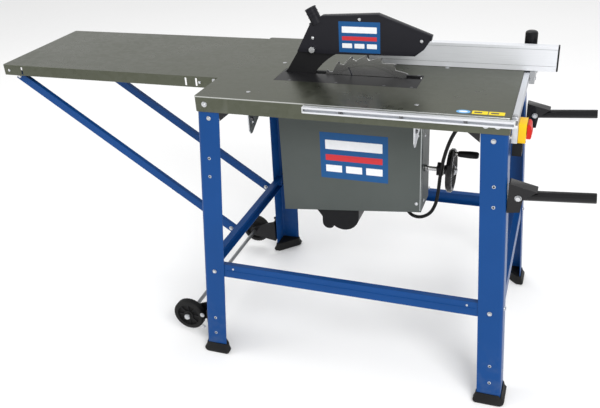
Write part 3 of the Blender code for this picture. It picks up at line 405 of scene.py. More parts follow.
def plated(name, low, high, roughness):
    """Bare or plated metal: a darker and a lighter shade in fine cloudy stains."""
    paint = Paint(name, Metallic=1.0)
    cloud = paint.noise(paint.place(), 55.0, 4.0)
    paint.bump(cloud, 0.00004)
    return paint.feed(Base_Color=paint.mix(cloud, low, high), Roughness=roughness + 0.14 * cloud)


zinc = plated("zinc_plated", (0.46, 0.47, 0.48), (0.68, 0.69, 0.71), 0.24)
UP, DOWN = (0.0, 0.0, 1.0), (0.0, 0.0, -1.0)
NEAR, FAR = (0.0, -1.0, 0.0), (0.0, 1.0, 0.0)
OPERATOR, OUTFEED = (1.0, 0.0, 0.0), (-1.0, 0.0, 0.0)
top_screws = [(middle_x - 0.269, -0.218), (middle_x - 0.261, 0.031), (middle_x + 0.176, -0.229)]
top_screws += [(middle_x - 0.269, 0.218), (middle_x + 0.200, 0.060)]
fasten("table_top_screws", [((x, y, top_z), UP) for x, y in top_screws], zinc, "frame",
       0.0042, 0.0008, 20, 1.35)
skirt_z = top_z - 0.021
skirt_bolts = [((middle_x + x, near_y, skirt_z), NEAR) for x in (-0.372, 0.345, 0.372)]
skirt_bolts += [((middle_x + x, far_y, skirt_z), FAR) for x in (-0.372, -0.340, 0.340, 0.372)]
skirt_bolts += [((table_low.x, y, skirt_z), OUTFEED) for y in (-0.245, -0.215)]
fasten("table_skirt_bolts", skirt_bolts, zinc, "frame", 0.0052, 0.0045)


# Three plain stickers near the operator's end of the table, of thin printed film: a blue oval with a
# white field and two yellow rectangles with a dark bar.
def printed(name, colour, gloss=0.35):
    paint = Paint(name, Specular_IOR_Level=0.2)
    cloud = paint.noise(paint.place(), 90.0, 2.0)
    darker = tuple(c * 0.88 for c in colour)
    return paint.feed(Base_Color=paint.mix(cloud, darker, colour), Roughness=gloss + 0.08 * cloud)


def sticker(name, outline, out, centre, material, body, thick=0.0003):
    film = raised(outline, facing(centre, out), thick)
    piece(name, from_shape(name, film), material, body)


def oval(width, height, steps=32):
    turns = [2 * math.pi * i / steps for i in range(steps)]
    return [(width / 2 * math.cos(t), height / 2 * math.sin(t)) for t in turns]


pale_blue_film = printed("pale_blue_film", (0.16, 0.42, 0.74))
yellow_film = printed("yellow_film", (0.80, 0.62, 0.01))
dark_film = printed("dark_film", (0.05, 0.05, 0.055))
white_film = printed("white_film", (0.85, 0.86, 0.88))
film_y, film_z, field_rise = -0.2525, top_z + 0.0001, 0.0002
oval_x = middle_x + 0.290
sticker("table_sticker_oval", oval(0.033, 0.021), UP, (oval_x, film_y, film_z), pale_blue_film,
        "frame")
sticker("table_sticker_oval_field", oval(0.020, 0.009), UP, (oval_x, film_y, film_z + field_rise), white_film,
        "frame")
for number, x in ((1, middle_x + 0.328), (2, middle_x + 0.366)):
    sticker(f"table_sticker_{number}", rounded(0.036, 0.020, 0.0015), UP, (x, film_y, film_z), yellow_film,
            "frame")
    sticker(f"table_sticker_{number}_bar", rounded(0.018, 0.007, 0.001), UP,
            (x - 0.004, film_y, film_z + field_rise), dark_film, "frame")


# The table insert: a black powder-coated steel plate round the blade's slot, let into the table top and
# held by small countersunk screws along its near and far edges.
def coated(name, colour, shine, roughness=0.34, grain=240.0, depth=0.00005, **constants):
    """Powder coat: one colour, a little lighter in slow clouds, with a fine orange-peel."""
    paint = Paint(name, Specular_IOR_Level=0.15, **constants)
    peel = paint.noise(paint.place(), grain, 2.0)
    cloud = paint.noise(paint.place(), 7.0, 4.0)
    colour = paint.mix(cloud, colour, shine)
    paint.bump(peel, depth, 0.8)
    return paint.feed(Base_Color=colour, Roughness=roughness + 0.10 * cloud + 0.06 * peel)


satin_black = coated("satin_black_coat", (0.007, 0.007, 0.008), (0.016, 0.016, 0.017), 0.26,
                     Coat_Weight=0.05)
gloss_black = coated("gloss_black_coat", (0.004, 0.004, 0.005), (0.010, 0.010, 0.011), 0.16,
                     Coat_Weight=0.25)
finish_node("table_insert", satin_black)
insert_low, insert_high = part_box("table_insert")
edge_in = 0.0115
insert_spots = [(middle_x + x, insert_low.y + edge_in) for x in (-0.194, -0.063, 0.066, 0.138)]
insert_spots += [(middle_x + x, insert_high.y - edge_in + 0.004) for x in (-0.222, 0.138)]
dark_steel = plated("dark_steel", (0.10, 0.10, 0.105), (0.22, 0.22, 0.23), 0.32)
fasten("insert_screws", [((x, y, top_z), UP) for x, y in insert_spots], dark_steel, "frame",
       0.0034, 0.0007, 18, 1.3)

# The slot's screen: a thin black strip, fixed by its upper edge under the far side of the insert's slot. It
# is painted shade, a dark sheet that closes the view past the blade to the floor.
screen_length, screen_depth, screen_thick, screen_near_y = 0.372, 0.018, 0.0012, -0.0214
screen_at = (middle_x - 0.042, screen_near_y + screen_thick, insert_low.z - screen_depth / 2 - 0.0003)
screen = raised(rounded(screen_length, screen_depth, 0.002), facing(screen_at, NEAR), screen_thick, 0.0004)
piece("insert_slot_screen", from_shape("screen", screen), satin_black, "frame")


# The guide rails: aluminium extrusions bolted along the near side and the operator's end, each with
# an open slot on its outer side and a plain cap on its end.
def extruded(name, along, metallic=1.0, roughness=0.26):
    """Mill-finish aluminium with fine lines along the bar."""
    paint = Paint(name, Metallic=metallic)
    stretch = [60.0, 60.0, 60.0]
    stretch["XYZ".index(along)] = 0.6
    lines = paint.noise(paint.place(tuple(stretch)), 12.0, 4.0)
    cloud = paint.noise(paint.place(), 11.0)
    paint.bump(lines, 0.00006)
    colour = paint.mix(lines * 0.7 + cloud * 0.3, (0.58, 0.60, 0.63), (0.86, 0.87, 0.90))
    return paint.feed(Base_Color=colour, Roughness=roughness + 0.18 * lines)


rail_metal = extruded("rail_aluminium", "X")
end_rail_metal = extruded("end_rail_aluminium", "Y")
finish_node("guide_rail_near", rail_metal)
finish_node("fence_rail_front", end_rail_metal)
rail_low, rail_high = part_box("guide_rail_near")
front_low, front_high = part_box("fence_rail_front")
rail_mid = (rail_low + rail_high) / 2
cap = rounded(rail_high.y - rail_low.y, rail_high.z - rail_low.z, 0.0015)
pale_cap = printed("pale_cap", (0.62, 0.63, 0.64), 0.4)
for name, x, out in (("rail_cap_left", rail_low.x, OUTFEED), ("rail_cap_right", rail_high.x, OPERATOR)):
    plug = raised(cap, facing((x, rail_mid.y, rail_mid.z), out, FAR), 0.002, 0.0006)
    piece(name, from_shape(name, plug), pale_cap, "frame")
slot_back_y = rail_low.y + 0.0045
rail_bolts = [((middle_x + x, slot_back_y, rail_mid.z), NEAR) for x in (0.0, 0.15, 0.30)]
fasten("near_rail_bolts", rail_bolts, dark_steel, "frame", 0.0030, 0.0025)
front_bolt_at = (front_high.x - 0.007, front_low.y + 0.010, front_high.z)
fasten("front_rail_bolt", [(front_bolt_at, UP)], zinc, "frame", 0.0050, 0.0045)


# The rear extension: a second folded tray of galvanised steel, which carries the work past the blade. A
# small plated hook plate joins it to the table at its near corner, and rivets hold its folded corners.
ext_low, ext_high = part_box("extension_table")
ext_skirt_z, corner_in = ext_low.z + 0.015, 0.05
long_side = (ext_low.x + 0.022, ext_high.x - 0.060)
rivets = [((x, ext_low.y, ext_skirt_z), NEAR) for x in long_side]
rivets += [((ext_low.x, y, ext_skirt_z), OUTFEED) for y in (ext_low.y + corner_in, ext_high.y - corner_in)]
rivets += [((x, ext_high.y, ext_skirt_z), FAR) for x in long_side]
fasten("extension_rivets", rivets, zinc, "frame", 0.0034, 0.0022, 20, 1.25)
hook_at = (ext_high.x - 0.014, ext_low.y - 0.0002, ext_low.z + 0.016)
hook = raised(rounded(0.010, 0.026, 0.003), facing(hook_at, NEAR), 0.0022, 0.0006)
piece("extension_hook_near", from_shape("hook", hook), zinc, "frame")


# Legs and crossbars: folded steel angle and channel with a glossy blue powder coat. They are bolted at
# the skirt and at the bars, and the spare holes down each flange stay open.
def powder_blue():
    paint = Paint("blue_powder_coat", Coat_Weight=0.06, Coat_Roughness=0.10, Specular_IOR_Level=0.12)
    peel = paint.noise(paint.place(), 260.0, 2.0)
    cloud = paint.noise(paint.place(), 4.0, 4.0)
    x, y, z = paint.axes()
    dust = paint.ramp(z, 0.20, 0.03) * paint.ramp(paint.noise(paint.place(), 38.0, 4.0), 0.45, 0.75)
    blue = paint.mix(cloud, (0.003, 0.043, 0.165), (0.005, 0.058, 0.225))
    blue = paint.mix(dust * 0.3, blue, (0.10, 0.13, 0.19))
    paint.bump(peel, 0.00005, 0.7)
    return paint.feed(Base_Color=blue, Roughness=0.30 + 0.12 * cloud + dust * 0.25)


blue_coat = powder_blue()
leg_names = [f"leg_{end}_{side}" for end in ("rear", "front") for side in ("near", "far")]
bar_names = [f"crossbar_{name}" for name in ("near", "far", "rear", "front")]
for node in (*leg_names, *bar_names, "strut_near", "strut_far"):
    finish_node(node, blue_coat)

# A leg's folded corner, from the middle of the table: upright above its kink, then splayed to the floor.
leg_kink_z, leg_top, leg_foot = 0.752, Vector((0.3971, 0.2721)), Vector((0.436, 0.328))
lean_x = math.atan2(leg_foot.x - leg_top.x, leg_kink_z)
lean_y = math.atan2(leg_foot.y - leg_top.y, leg_kink_z)


def leg_corner(z):
    share = max(0.0, (leg_kink_z - z) / leg_kink_z)
    return leg_top.lerp(leg_foot, share)


def leg_spots(z, inset, end, side, faces="xy"):
    """Places on both outer flanges of one leg, this far in from its folded corner."""
    corner = leg_corner(z)
    slope_x, slope_y = (lean_x, lean_y) if z < leg_kink_z else (0.0, 0.0)
    spots = []
    if "y" in faces:
        spot = (middle_x + end * (corner.x - inset), side * corner.y, z)
        spots.append((spot, (0.0, side * math.cos(slope_y), math.sin(slope_y))))
    if "x" in faces:
        spot = (middle_x + end * corner.x, side * (corner.y - inset), z)
        spots.append((spot, (end * math.cos(slope_x), 0.0, math.sin(slope_x))))
    return spots


corners = [(end, side) for end in (-1, 1) for side in (-1, 1)]
bolt_in, hole_in = 0.033, 0.030
bolts = [spot for end, side in corners for z in (0.740, 0.278) for spot in leg_spots(z, bolt_in, end, side)]
fasten("leg_bolts", bolts, zinc, "frame", 0.0050, 0.0045, 6, 1.25)
holes = []
for faces, heights in (("y", (0.627, 0.574, 0.118, 0.065)), ("x", (0.500, 0.087))):
    for end, side in corners:
        holes += [spot for z in heights for spot in leg_spots(z, hole_in, end, side, faces)]
pale_hole = plated("hole_edge", (0.42, 0.44, 0.47), (0.60, 0.62, 0.65), 0.35)
fasten("leg_hole_rims", holes, pale_hole, "frame", 0.0040, 0.0008, 20, 1.1)
hole_dark = coated("hole_shadow", (0.004, 0.006, 0.012), (0.008, 0.012, 0.02), 0.7)
inner_holes = [(tuple(Vector(place) + Vector(out) * 0.0006), out) for place, out in holes]
fasten("leg_holes", inner_holes, hole_dark, "frame", 0.0024, 0.0004, 20, 1.0)

bar_z = 0.283
bar_face_y = leg_corner(bar_z).y - 0.0029
bead = rounded(2 * 0.352, 0.0030, 0.0014, 3)
bar_holes = []
for side, name in ((-1, "near"), (1, "far")):
    out = (0.0, side * math.cos(lean_y), math.sin(lean_y))
    ridge = raised(bead, facing((middle_x, side * bar_face_y, bar_z + 0.001), out), 0.0013, 0.0006)
    piece(f"crossbar_bead_{name}", from_shape("bead", ridge), blue_coat, "frame")
    bar_holes += [((middle_x + x, side * bar_face_y, bar_z + 0.009), out) for x in (-0.330, 0.330)]
fasten("crossbar_holes", bar_holes, pale_hole, "frame", 0.0030, 0.0005, 20, 1.0)

gusset = [(0.0, 0.0), (0.030, 0.0), (0.0, -0.024)]
for end, side in corners:
    spot = (middle_x + end * (leg_top.x - 0.0635), side * (far_y - 0.0045), top_z - 0.042)
    place = facing(spot, (0.0, side * 1.0, 0.0), (-end, 0.0, 0.0))
    outline = gusset if place.to_3x3().col[1].z > 0 else [(x, -y) for x, y in reversed(gusset)]
    name = f"leg_gusset_{'front' if end > 0 else 'rear'}_{'far' if side > 0 else 'near'}"
    plate = raised(outline, place, 0.002)
    piece(name, from_shape(name, plate), gloss_black, "frame", smooth=False)

strut_bolts = []
for node in ("strut_near", "strut_far"):
    low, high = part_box(node)
    strut_bolts.append(((low.x + 0.012, low.y, high.z - 0.014), NEAR))
    strut_bolts.append(((high.x - 0.014, low.y, low.z + 0.014), NEAR))
fasten("strut_bolts", strut_bolts, zinc, "frame", 0.0050, 0.0045)


# Feet and road wheels: moulded black rubber. The wheels run on one steel axle, held by push-on caps,
# in brackets bolted to the outfeed legs.
def moulded(name, dark, light, roughness, grain=420.0, depth=0.00006, **constants):
    """Moulded rubber or plastic, or a casting: a fine grain and slow clouds between two shades."""
    paint = Paint(name, Specular_IOR_Level=0.15, **constants)
    fine = paint.noise(paint.place(), grain, 2.0)
    cloud = paint.noise(paint.place(), 16.0, 4.0)
    paint.bump(fine, depth)
    return paint.feed(Base_Color=paint.mix(cloud, dark, light), Roughness=roughness + 0.12 * cloud)


rubber = moulded("black_rubber", (0.006, 0.006, 0.006), (0.016, 0.016, 0.016), 0.55)
black_plastic = moulded("black_plastic", (0.006, 0.006, 0.007), (0.014, 0.014, 0.015), 0.34)
for node in ("foot_rear_near", "foot_rear_far", "foot_front_near", "foot_front_far", "road_wheel_near",
             "road_wheel_far"):
    finish_node(node, rubber)
for node in ("wheel_bracket_near", "wheel_bracket_far", "handle_bracket_near", "handle_bracket_far"):
    finish_node(node, gloss_black)
dull_steel = plated("axle_steel", (0.16, 0.165, 0.17), (0.34, 0.35, 0.36), 0.34)
finish_node("wheel_axle", dull_steel)
axle_low, axle_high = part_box("wheel_axle")
axle_at = (axle_low + axle_high) / 2
axle_ends = [((axle_at.x, axle_low.y, axle_at.z), NEAR), ((axle_at.x, axle_high.y, axle_at.z), FAR)]
fasten("axle_caps", axle_ends, zinc, "frame", 0.0078, 0.0045, 24, 1.2)


def ring_tree():
    """Blocks set evenly round a ring: each is long, wide and high as stated and stands on the radius."""
    number = "NodeSocketFloat"
    names = ("Radius", "Long", "Wide", "High", "Turn")
    sizes = [(label, number) for label in names]
    inputs = [("Count", "NodeSocketInt"), *sizes, ("Paint", "NodeSocketMaterial")]
    tree, add = node_tree("ring_of_blocks", inputs)
    given = add("NodeGroupInput").outputs
    ring = add("GeometryNodeMeshCircle", {}, {"Vertices": given["Count"], "Radius": given["Radius"]})
    size = add("ShaderNodeCombineXYZ", {}, {0: given["High"], 1: given["Wide"], 2: given["Long"]})
    block = add("GeometryNodeMeshCube", {}, {"Size": size.outputs[0]})
    where = add("GeometryNodeInputPosition")
    outward = add("FunctionNodeAlignRotationToVector", {"axis": "X"}, {"Vector": where.outputs[0]})
    twist = add("ShaderNodeCombineXYZ", {}, {2: given["Turn"]})
    spin = add("FunctionNodeEulerToRotation", {}, {0: twist.outputs[0]})
    turned = add("FunctionNodeRotateRotation", {}, {0: outward.outputs[0], 1: spin.outputs[0]})
    spots = {"Points": ring.outputs[0], "Instance": block.outputs[0], "Rotation": turned.outputs[0]}
    placed = add("GeometryNodeInstanceOnPoints", {}, spots)
    real = add("GeometryNodeRealizeInstances", {}, {0: placed.outputs[0]})
    painted = add("GeometryNodeSetMaterial", {}, {"Geometry": real.outputs[0], "Material": given["Paint"]})
    add("NodeGroupOutput", {}, {0: painted.outputs[0]})
    return tree


blocks_round = ring_tree()


def ring_of_blocks(name, count, radius, sizes, place, material, body, turn=0.0):
    """A ring of equal blocks about a matrix's Z: sizes are along it, round the ring and outwards."""
    seed = bpy.data.meshes.new("seed")
    seed.from_pydata([(0.0, 0.0, 0.0)], [], [])
    long, wide, high = sizes
    values = {"Count": count, "Radius": radius, "Long": long, "Wide": wide, "High": high, "Turn": turn}
    mesh = grown(blocks_round, seed, {**values, "Paint": material})
    mesh.transform(place)
    return piece(name, mesh, material, body, smooth=False)


bracket_bolts = []
for side, name in ((-1, "near"), (1, "far")):
    low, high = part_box(f"road_wheel_{name}")
    centre = (low + high) / 2
    spokes_at = (centre.x, centre.y + side * 0.0065, centre.z)
    ring_of_blocks(f"road_wheel_spokes_{name}", 8, 0.026, (0.004, 0.0035, 0.018),
                   facing(spokes_at, (0, side, 0)), black_plastic, f"road_wheel_{name}")
    ring_of_blocks(f"road_wheel_tread_{name}", 36, 0.0492, (0.018, 0.0030, 0.0022),
                   facing(centre, FAR), rubber, f"road_wheel_{name}")
    low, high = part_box(f"wheel_bracket_{name}")
    face_y = low.y if side < 0 else high.y
    bracket_bolts += [((middle_x - 0.452, face_y, z), (0.0, side * 1.0, 0.0)) for z in (0.066, 0.108)]
fasten("wheel_bracket_bolts", bracket_bolts, zinc, "frame", 0.0048, 0.0040)


# Hanger plates and pivot brackets: bright zinc-plated plate under the table, which carries the saw unit
# and lets it tilt. The front one is a quadrant with an arc slot and a scale of plain notches.
quadrant_zinc = plated("quadrant_zinc", (0.36, 0.37, 0.38), (0.58, 0.59, 0.60), 0.30)
for node in ("hanger_plate_rear", "hanger_plate_front"):
    finish_node(node, zinc)
for node in ("pivot_bracket_rear", "tilt_quadrant"):
    finish_node(node, quadrant_zinc)
plate_low, plate_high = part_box("hanger_plate_front")
rear_low, rear_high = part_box("hanger_plate_rear")
bolt_in, bolt_z = 0.022, top_z - 0.060
plate_bolts = [((plate_high.x, plate_low.y + bolt_in, bolt_z), OPERATOR),
               ((rear_low.x, rear_low.y + bolt_in, bolt_z), OUTFEED),
               ((rear_high.x, rear_low.y + bolt_in, bolt_z), OPERATOR),
               ((plate_low.x, plate_low.y + bolt_in, bolt_z), OUTFEED)]
fasten("hanger_plate_bolts", plate_bolts, dark_steel, "frame", 0.0042, 0.0030)


def joined(shapes):
    """Several shapes as one."""
    whole = bmesh.new()
    for shape in shapes:
        part = bpy.data.meshes.new("part")
        shape.to_mesh(part)
        shape.free()
        whole.from_mesh(part)
        bpy.data.meshes.remove(part)
    return whole


tilt_at, scale_x, scale_radius = Vector((middle_x, -0.043, 0.784)), middle_x + 0.1789, 0.0765
notches = []
for step in range(10):
    turn = math.radians(step * 5.0)
    out = Vector((0.0, -math.sin(turn), -math.cos(turn)))
    spot = tilt_at + out * scale_radius
    spot.x = scale_x
    half_long, half_wide = (0.0035 if step % 3 == 0 else 0.00225), 0.0005
    mark = [(x * half_long, y * half_wide) for x, y in floor_signs]
    notches.append(raised(mark, facing(spot, OPERATOR, out), 0.0003))
piece("tilt_scale_notches", from_shape("notches", joined(notches)), hole_dark, "frame",
      smooth=False)


# The blade housing: a box folded from grey painted sheet and open to the table. Its corner flanges are
# spot-welded, with a painted highlight on the fold, and a printed panel of plain blocks is stuck on its side.
housing_grey = coated("housing_grey_coat", (0.072, 0.082, 0.077), (0.098, 0.110, 0.105), 0.38, 300.0, 0.00006,
                      Metallic=0.25)
finish_node("blade_housing", housing_grey)
hem_x, hem_y = middle_x + 0.171, -0.120
# Painted highlight: the quarter-round strip at the corner fold is given a light metal colour for light caught
# on the fold.
fold_highlight = plated("rubbed_fold", (0.30, 0.32, 0.32), (0.52, 0.54, 0.54), 0.30)
hem_radius, hem_in = 0.0045, 0.0040
hem_outline = [(0.0, 0.0)]
for turn in range(0, 91, 15):
    turn = math.radians(turn)
    hem_outline.append((hem_radius * math.cos(turn), hem_radius * math.sin(turn)))
hem = bmesh.new()
rings = []
for z in (0.449, 0.699):
    centre = Vector((hem_x - hem_in, hem_y + hem_in, z))
    rings.append([hem.verts.new(centre + Vector((x, -y, 0.0))) for x, y in hem_outline])
for i in range(len(hem_outline)):
    j = (i + 1) % len(hem_outline)
    hem.faces.new((rings[0][i], rings[0][j], rings[1][j], rings[1][i]))
hem.faces.new(rings[0][::-1])
hem.faces.new(rings[1])
piece("housing_corner_fold", from_shape("hem", hem), fold_highlight, "saw_unit")
front_face_x = middle_x + 0.1752
screws = [((front_face_x, y, z), OPERATOR) for y in (-0.108, -0.032) for z in (0.670, 0.478)]
screws += [((middle_x + 0.158, hem_y, z), NEAR) for z in (0.672, 0.470)]
fasten("housing_screws", screws, zinc, "saw_unit", 0.0036, 0.0022, 20, 1.3)


def panel(names, centre, out, width, height, body):
    """A plain printed film: a blue field with a white bar, a red bar and a row of equal white blocks."""
    centre, way = Vector(centre), Vector(out)

    def layer(name, wide, tall, x, z, material, lift_by):
        spot = centre + Vector((x * width, 0.0, z * height)) + way * lift_by
        outline = rounded(wide * width, tall * height, 0.0012)
        sticker(f"{names}_{name}", outline, out, spot, material, body, 0.00018)

    layer("field", 1.0, 1.0, 0.0, 0.0, blue_print, 0.0001)
    layer("top_bar", 0.84, 0.20, 0.0, 0.24, white_film, 0.0003)
    layer("red_bar", 0.84, 0.13, 0.0, -0.04, red_print, 0.0003)
    for i in range(3):
        layer(f"block_{i + 1}", 0.24, 0.15, (i - 1) * 0.30, -0.28, white_film, 0.0003)


blue_print = printed("blue_print", (0.010, 0.085, 0.25))
red_print = printed("red_print", (0.60, 0.035, 0.045))
panel("housing_panel", (middle_x - 0.017, hem_y, 0.592), NEAR, 0.192, 0.138, "saw_unit")
finish_node("dust_chute", black_plastic)


# The lift: a cast carriage that climbs a threaded screw inside the housing, with the motor bolted to
# its far side. The motor has cooling fins round its body, a slotted fan cover and a terminal box.
cast_grey = moulded("grey_casting", (0.085, 0.090, 0.095), (0.150, 0.156, 0.162), 0.50, 160.0, 0.00018,
                    Metallic=0.5)
for node in ("lift_carriage", "motor_body"):
    finish_node(node, cast_grey)
finish_node("motor_fan_cover", black_plastic)


def threaded():
    """Bright screw stock, whose thread is a fine ridge every 3 mm of height."""
    paint = Paint("threaded_steel", Metallic=1.0)
    x, y, z = paint.axes()
    ridge = abs(paint.node("ShaderNodeMath", {"operation": "FRACT"}, {0: z * (1.0 / 0.003)}) - 0.5)
    oil = paint.noise(paint.place(), 70.0)
    paint.bump(ridge, 0.0012)
    colour = paint.mix(ridge * 1.4, (0.60, 0.60, 0.60), (0.20, 0.20, 0.20))
    return paint.feed(Base_Color=colour, Roughness=0.24 + 0.2 * oil)


finish_node("lift_screw", threaded())
fan_low, fan_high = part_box("motor_fan_cover")
motor_at = Vector((middle_x + 0.003, 0.0, 0.700))
ring_of_blocks("motor_fins", 40, 0.0625, (0.100, 0.0022, 0.0065),
               facing((motor_at.x, 0.092, motor_at.z), FAR), cast_grey, "lift_unit")
fan_face = facing((motor_at.x, fan_high.y + 0.0001, motor_at.z), FAR)
for number, count, radius in ((1, 8, 0.018), (2, 14, 0.032), (3, 20, 0.046)):
    ring_of_blocks(f"fan_cover_slots_{number}", count, radius, (0.0008, 0.0032, 0.0095), fan_face, hole_dark,
                   "lift_unit")
cover_screws = []
for turn in (45, 135, 225, 315):
    out = Vector((math.cos(math.radians(turn)), 0.0, math.sin(math.radians(turn))))
    spot = motor_at + out * 0.0628 + Vector((0.0, fan_low.y + 0.016, 0.0))
    cover_screws.append((tuple(spot), tuple(out)))
fasten("fan_cover_screws", cover_screws, zinc, "lift_unit", 0.0030, 0.0018, 18, 1.2)
box_screws = [((middle_x + x, y, 0.6545), DOWN) for x in (0.029, 0.081) for y in (0.040, 0.104)]
fasten("terminal_box_screws", box_screws, zinc, "lift_unit", 0.0028, 0.0016, 18, 1.2)

# The motor's cable: 10 mm rubber-sheathed lead, hung in a loose bow from the gland under the table
# round the front of the housing to the terminal box. It is one length with both ends in the machine.
cable_radius = 0.0048
cable_points = [
    (0.3045, -0.190, 0.7826), (0.3040, -0.190, 0.7730), (0.2950, -0.187, 0.7570), (0.2760, -0.180, 0.7360),
    (0.2570, -0.166, 0.7030), (0.2410, -0.148, 0.6600), (0.2280, -0.130, 0.6100), (0.2200, -0.119, 0.5600),
    (0.2150, -0.113, 0.5100), (0.2080, -0.108, 0.4700), (0.1930, -0.104, 0.4380), (0.1680, -0.098, 0.4190),
    (0.1400, -0.082, 0.4120), (0.1160, -0.050, 0.4140), (0.0960, -0.010, 0.4300), (0.0800, 0.026, 0.4680),
    (0.0680, 0.050, 0.5250), (0.0590, 0.064, 0.5850), (0.0552, 0.072, 0.6300), (0.0550, 0.072, 0.6546),
]
route = [Vector(point) + Vector((middle_x, 0.0, 0.0)) for point in cable_points]


def smooth_route(points, steps):
    """Points along a smooth curve through the route."""
    ends = [points[0] * 2 - points[1], *points, points[-1] * 2 - points[-2]]
    line = []
    for before, start, stop, after in zip(ends, ends[1:], ends[2:], ends[3:]):
        for i in range(steps):
            t = i / steps
            bend = (2 * before - 5 * start + 4 * stop - after) * t**2
            twist = (3 * start - before - 3 * stop + after) * t**3
            line.append(0.5 * (2 * start + (stop - before) * t + bend + twist))
    return [*line, points[-1]]


cable_line = smooth_route(route, 6)
cable_curve = bpy.data.curves.new("motor_cable_sheath", "CURVE")
cable_curve.dimensions = "3D"
cable_curve.bevel_depth, cable_curve.bevel_resolution, cable_curve.use_fill_caps = cable_radius, 4, True
spline = cable_curve.splines.new("POLY")
spline.points.add(len(cable_line) - 1)
for point, place in zip(spline.points, cable_line):
    point.co = (*place, 1.0)
spline.use_smooth = True
cable_rubber = moulded("cable_sheath", (0.005, 0.005, 0.005), (0.011, 0.011, 0.011), 0.42, 300.0, 0.00004)
cable_curve.materials.append(cable_rubber)
drawn_cable = bpy.data.objects.new("drawn_cable", cable_curve)
scene.collection.objects.link(drawn_cable)
evaluated_cable = drawn_cable.evaluated_get(bpy.context.evaluated_depsgraph_get())
cable_mesh = bpy.data.meshes.new_from_object(evaluated_cable)
bpy.data.objects.remove(drawn_cable)
cable_shape = bmesh.new()
cable_shape.from_mesh(cable_mesh)
bmesh.ops.remove_doubles(cable_shape, verts=cable_shape.verts, dist=1e-6)
cable = link_mesh("motor_cable_sheath", from_shape("motor_cable_sheath", cable_shape))
cable.data.materials.clear()
cable.data.materials.append(cable_rubber)
cable.data.shade_smooth()
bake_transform(cable)
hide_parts("motor_cable")
cable_length = sum((b - a).length for a, b in zip(cable_line, cable_line[1:]))
finish_node("cable_gland", black_plastic)

# The cable's boot: a tapered rubber sleeve under the terminal box, long enough to hide how the cable's
# end goes in and out of the box as the motor is raised and lowered.
def turned(profile, steps, closed):
    """What a profile of (radius, height) points sweeps out round the Z axis."""
    shape = bmesh.new()
    edge = [shape.verts.new((radius, 0.0, height)) for radius, height in profile]
    following = [*edge[1:], edge[0]] if closed else edge[1:]
    edges = [shape.edges.new(pair) for pair in zip(edge, following)]
    bmesh.ops.spin(shape, geom=edge + edges, axis=(0, 0, 1), cent=(0, 0, 0), angle=2 * math.pi, steps=steps,
                   use_duplicate=False)
    bmesh.ops.remove_doubles(shape, verts=shape.verts, dist=1e-6)
    return shape


boot_profile = [(0.0052, -0.0300), (0.0070, -0.0300), (0.0078, -0.0285), (0.0096, -0.0040), (0.0112, -0.0030),
                (0.0112, -0.0004), (0.0052, -0.0004)]
boot = turned(boot_profile, 32, closed=True)
bmesh.ops.translate(boot, verts=boot.verts, vec=route[-1])
piece("motor_cable_boot", from_shape("boot", boot), rubber, "lift_unit")

# The saw blade: a ground steel disc with carbide-tipped teeth and four expansion slots, clamped
# between flanges by a nut on the arbor.
blade_low, blade_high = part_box("saw_blade")
blade_at = (blade_low + blade_high) / 2
arbor_at = Vector((middle_x + 0.003, blade_at.y, 0.700))


def ground_disc():
    """Steel ground in circles: scratch rings round the arbor, thin dark rings, a painted highlight on the
    smoother middle.
    """
    paint = Paint("ground_disc", Metallic=1.0)
    x, y, z = paint.axes()
    across_x, across_z = x - arbor_at.x, z - arbor_at.z
    radius = (across_x * across_x + across_z * across_z) ** 0.5
    along = paint.node("ShaderNodeCombineXYZ", sockets={0: radius * 900.0, 1: y * 0.0})
    rings = paint.noise(along, 1.0, 5.0, 0.7)
    cloud = paint.noise(paint.place(), 14.0, 3.0)
    line = (abs(radius - 0.128) < 0.0006) + (abs(radius - 0.060) < 0.0004)
    colour = paint.mix(rings * 0.8 + cloud * 0.2, (0.30, 0.30, 0.295), (0.60, 0.60, 0.59))
    # Painted highlight: inside the outer ring the disc is made lighter for the bright reflection on it; the
    # lower roughness there is its real polish.
    polish_and_highlight = paint.ramp(radius, 0.136, 0.118)
    colour = paint.mix(polish_and_highlight * 0.6, colour, (0.92, 0.92, 0.91))
    colour = paint.mix(line * 0.6, colour, (0.10, 0.10, 0.10))
    paint.bump(rings, 0.00008)
    return paint.feed(Base_Color=colour, Roughness=0.20 - 0.08 * polish_and_highlight + 0.16 * rings)


disc_steel = ground_disc()
bright_steel = plated("bright_steel", (0.42, 0.42, 0.42), (0.64, 0.64, 0.64), 0.20)
finish_node("saw_blade", disc_steel)
for node in ("arbor_shaft", "arbor_flange_nut", "handwheel_shaft", "crank_pin"):
    finish_node(node, bright_steel)
carbide = plated("carbide", (0.20, 0.20, 0.21), (0.36, 0.36, 0.38), 0.22)
tooth_count, tooth_circle = 24, 0.1540
ring_of_blocks("blade_carbide_tips", tooth_count, tooth_circle, (0.0038, 0.0030, 0.0062),
               facing(arbor_at, NEAR), carbide, "blade")
slot_circle, face_out = 0.112, 0.00151
slot_cuts = []
for quarter in range(4):
    turn = math.radians(22.5 + 90 * quarter)
    out = Vector((math.cos(turn), 0.0, math.sin(turn)))
    for side in (-1, 1):
        spot = arbor_at + out * slot_circle + Vector((0.0, side * face_out, 0.0))
        slot_cuts.append(raised(rounded(0.040, 0.0026, 0.0012, 3), facing(spot, (0, side, 0), out), 0.00012))
piece("blade_expansion_slots", from_shape("slots", joined(slot_cuts)), hole_dark, "blade",
      smooth=False)

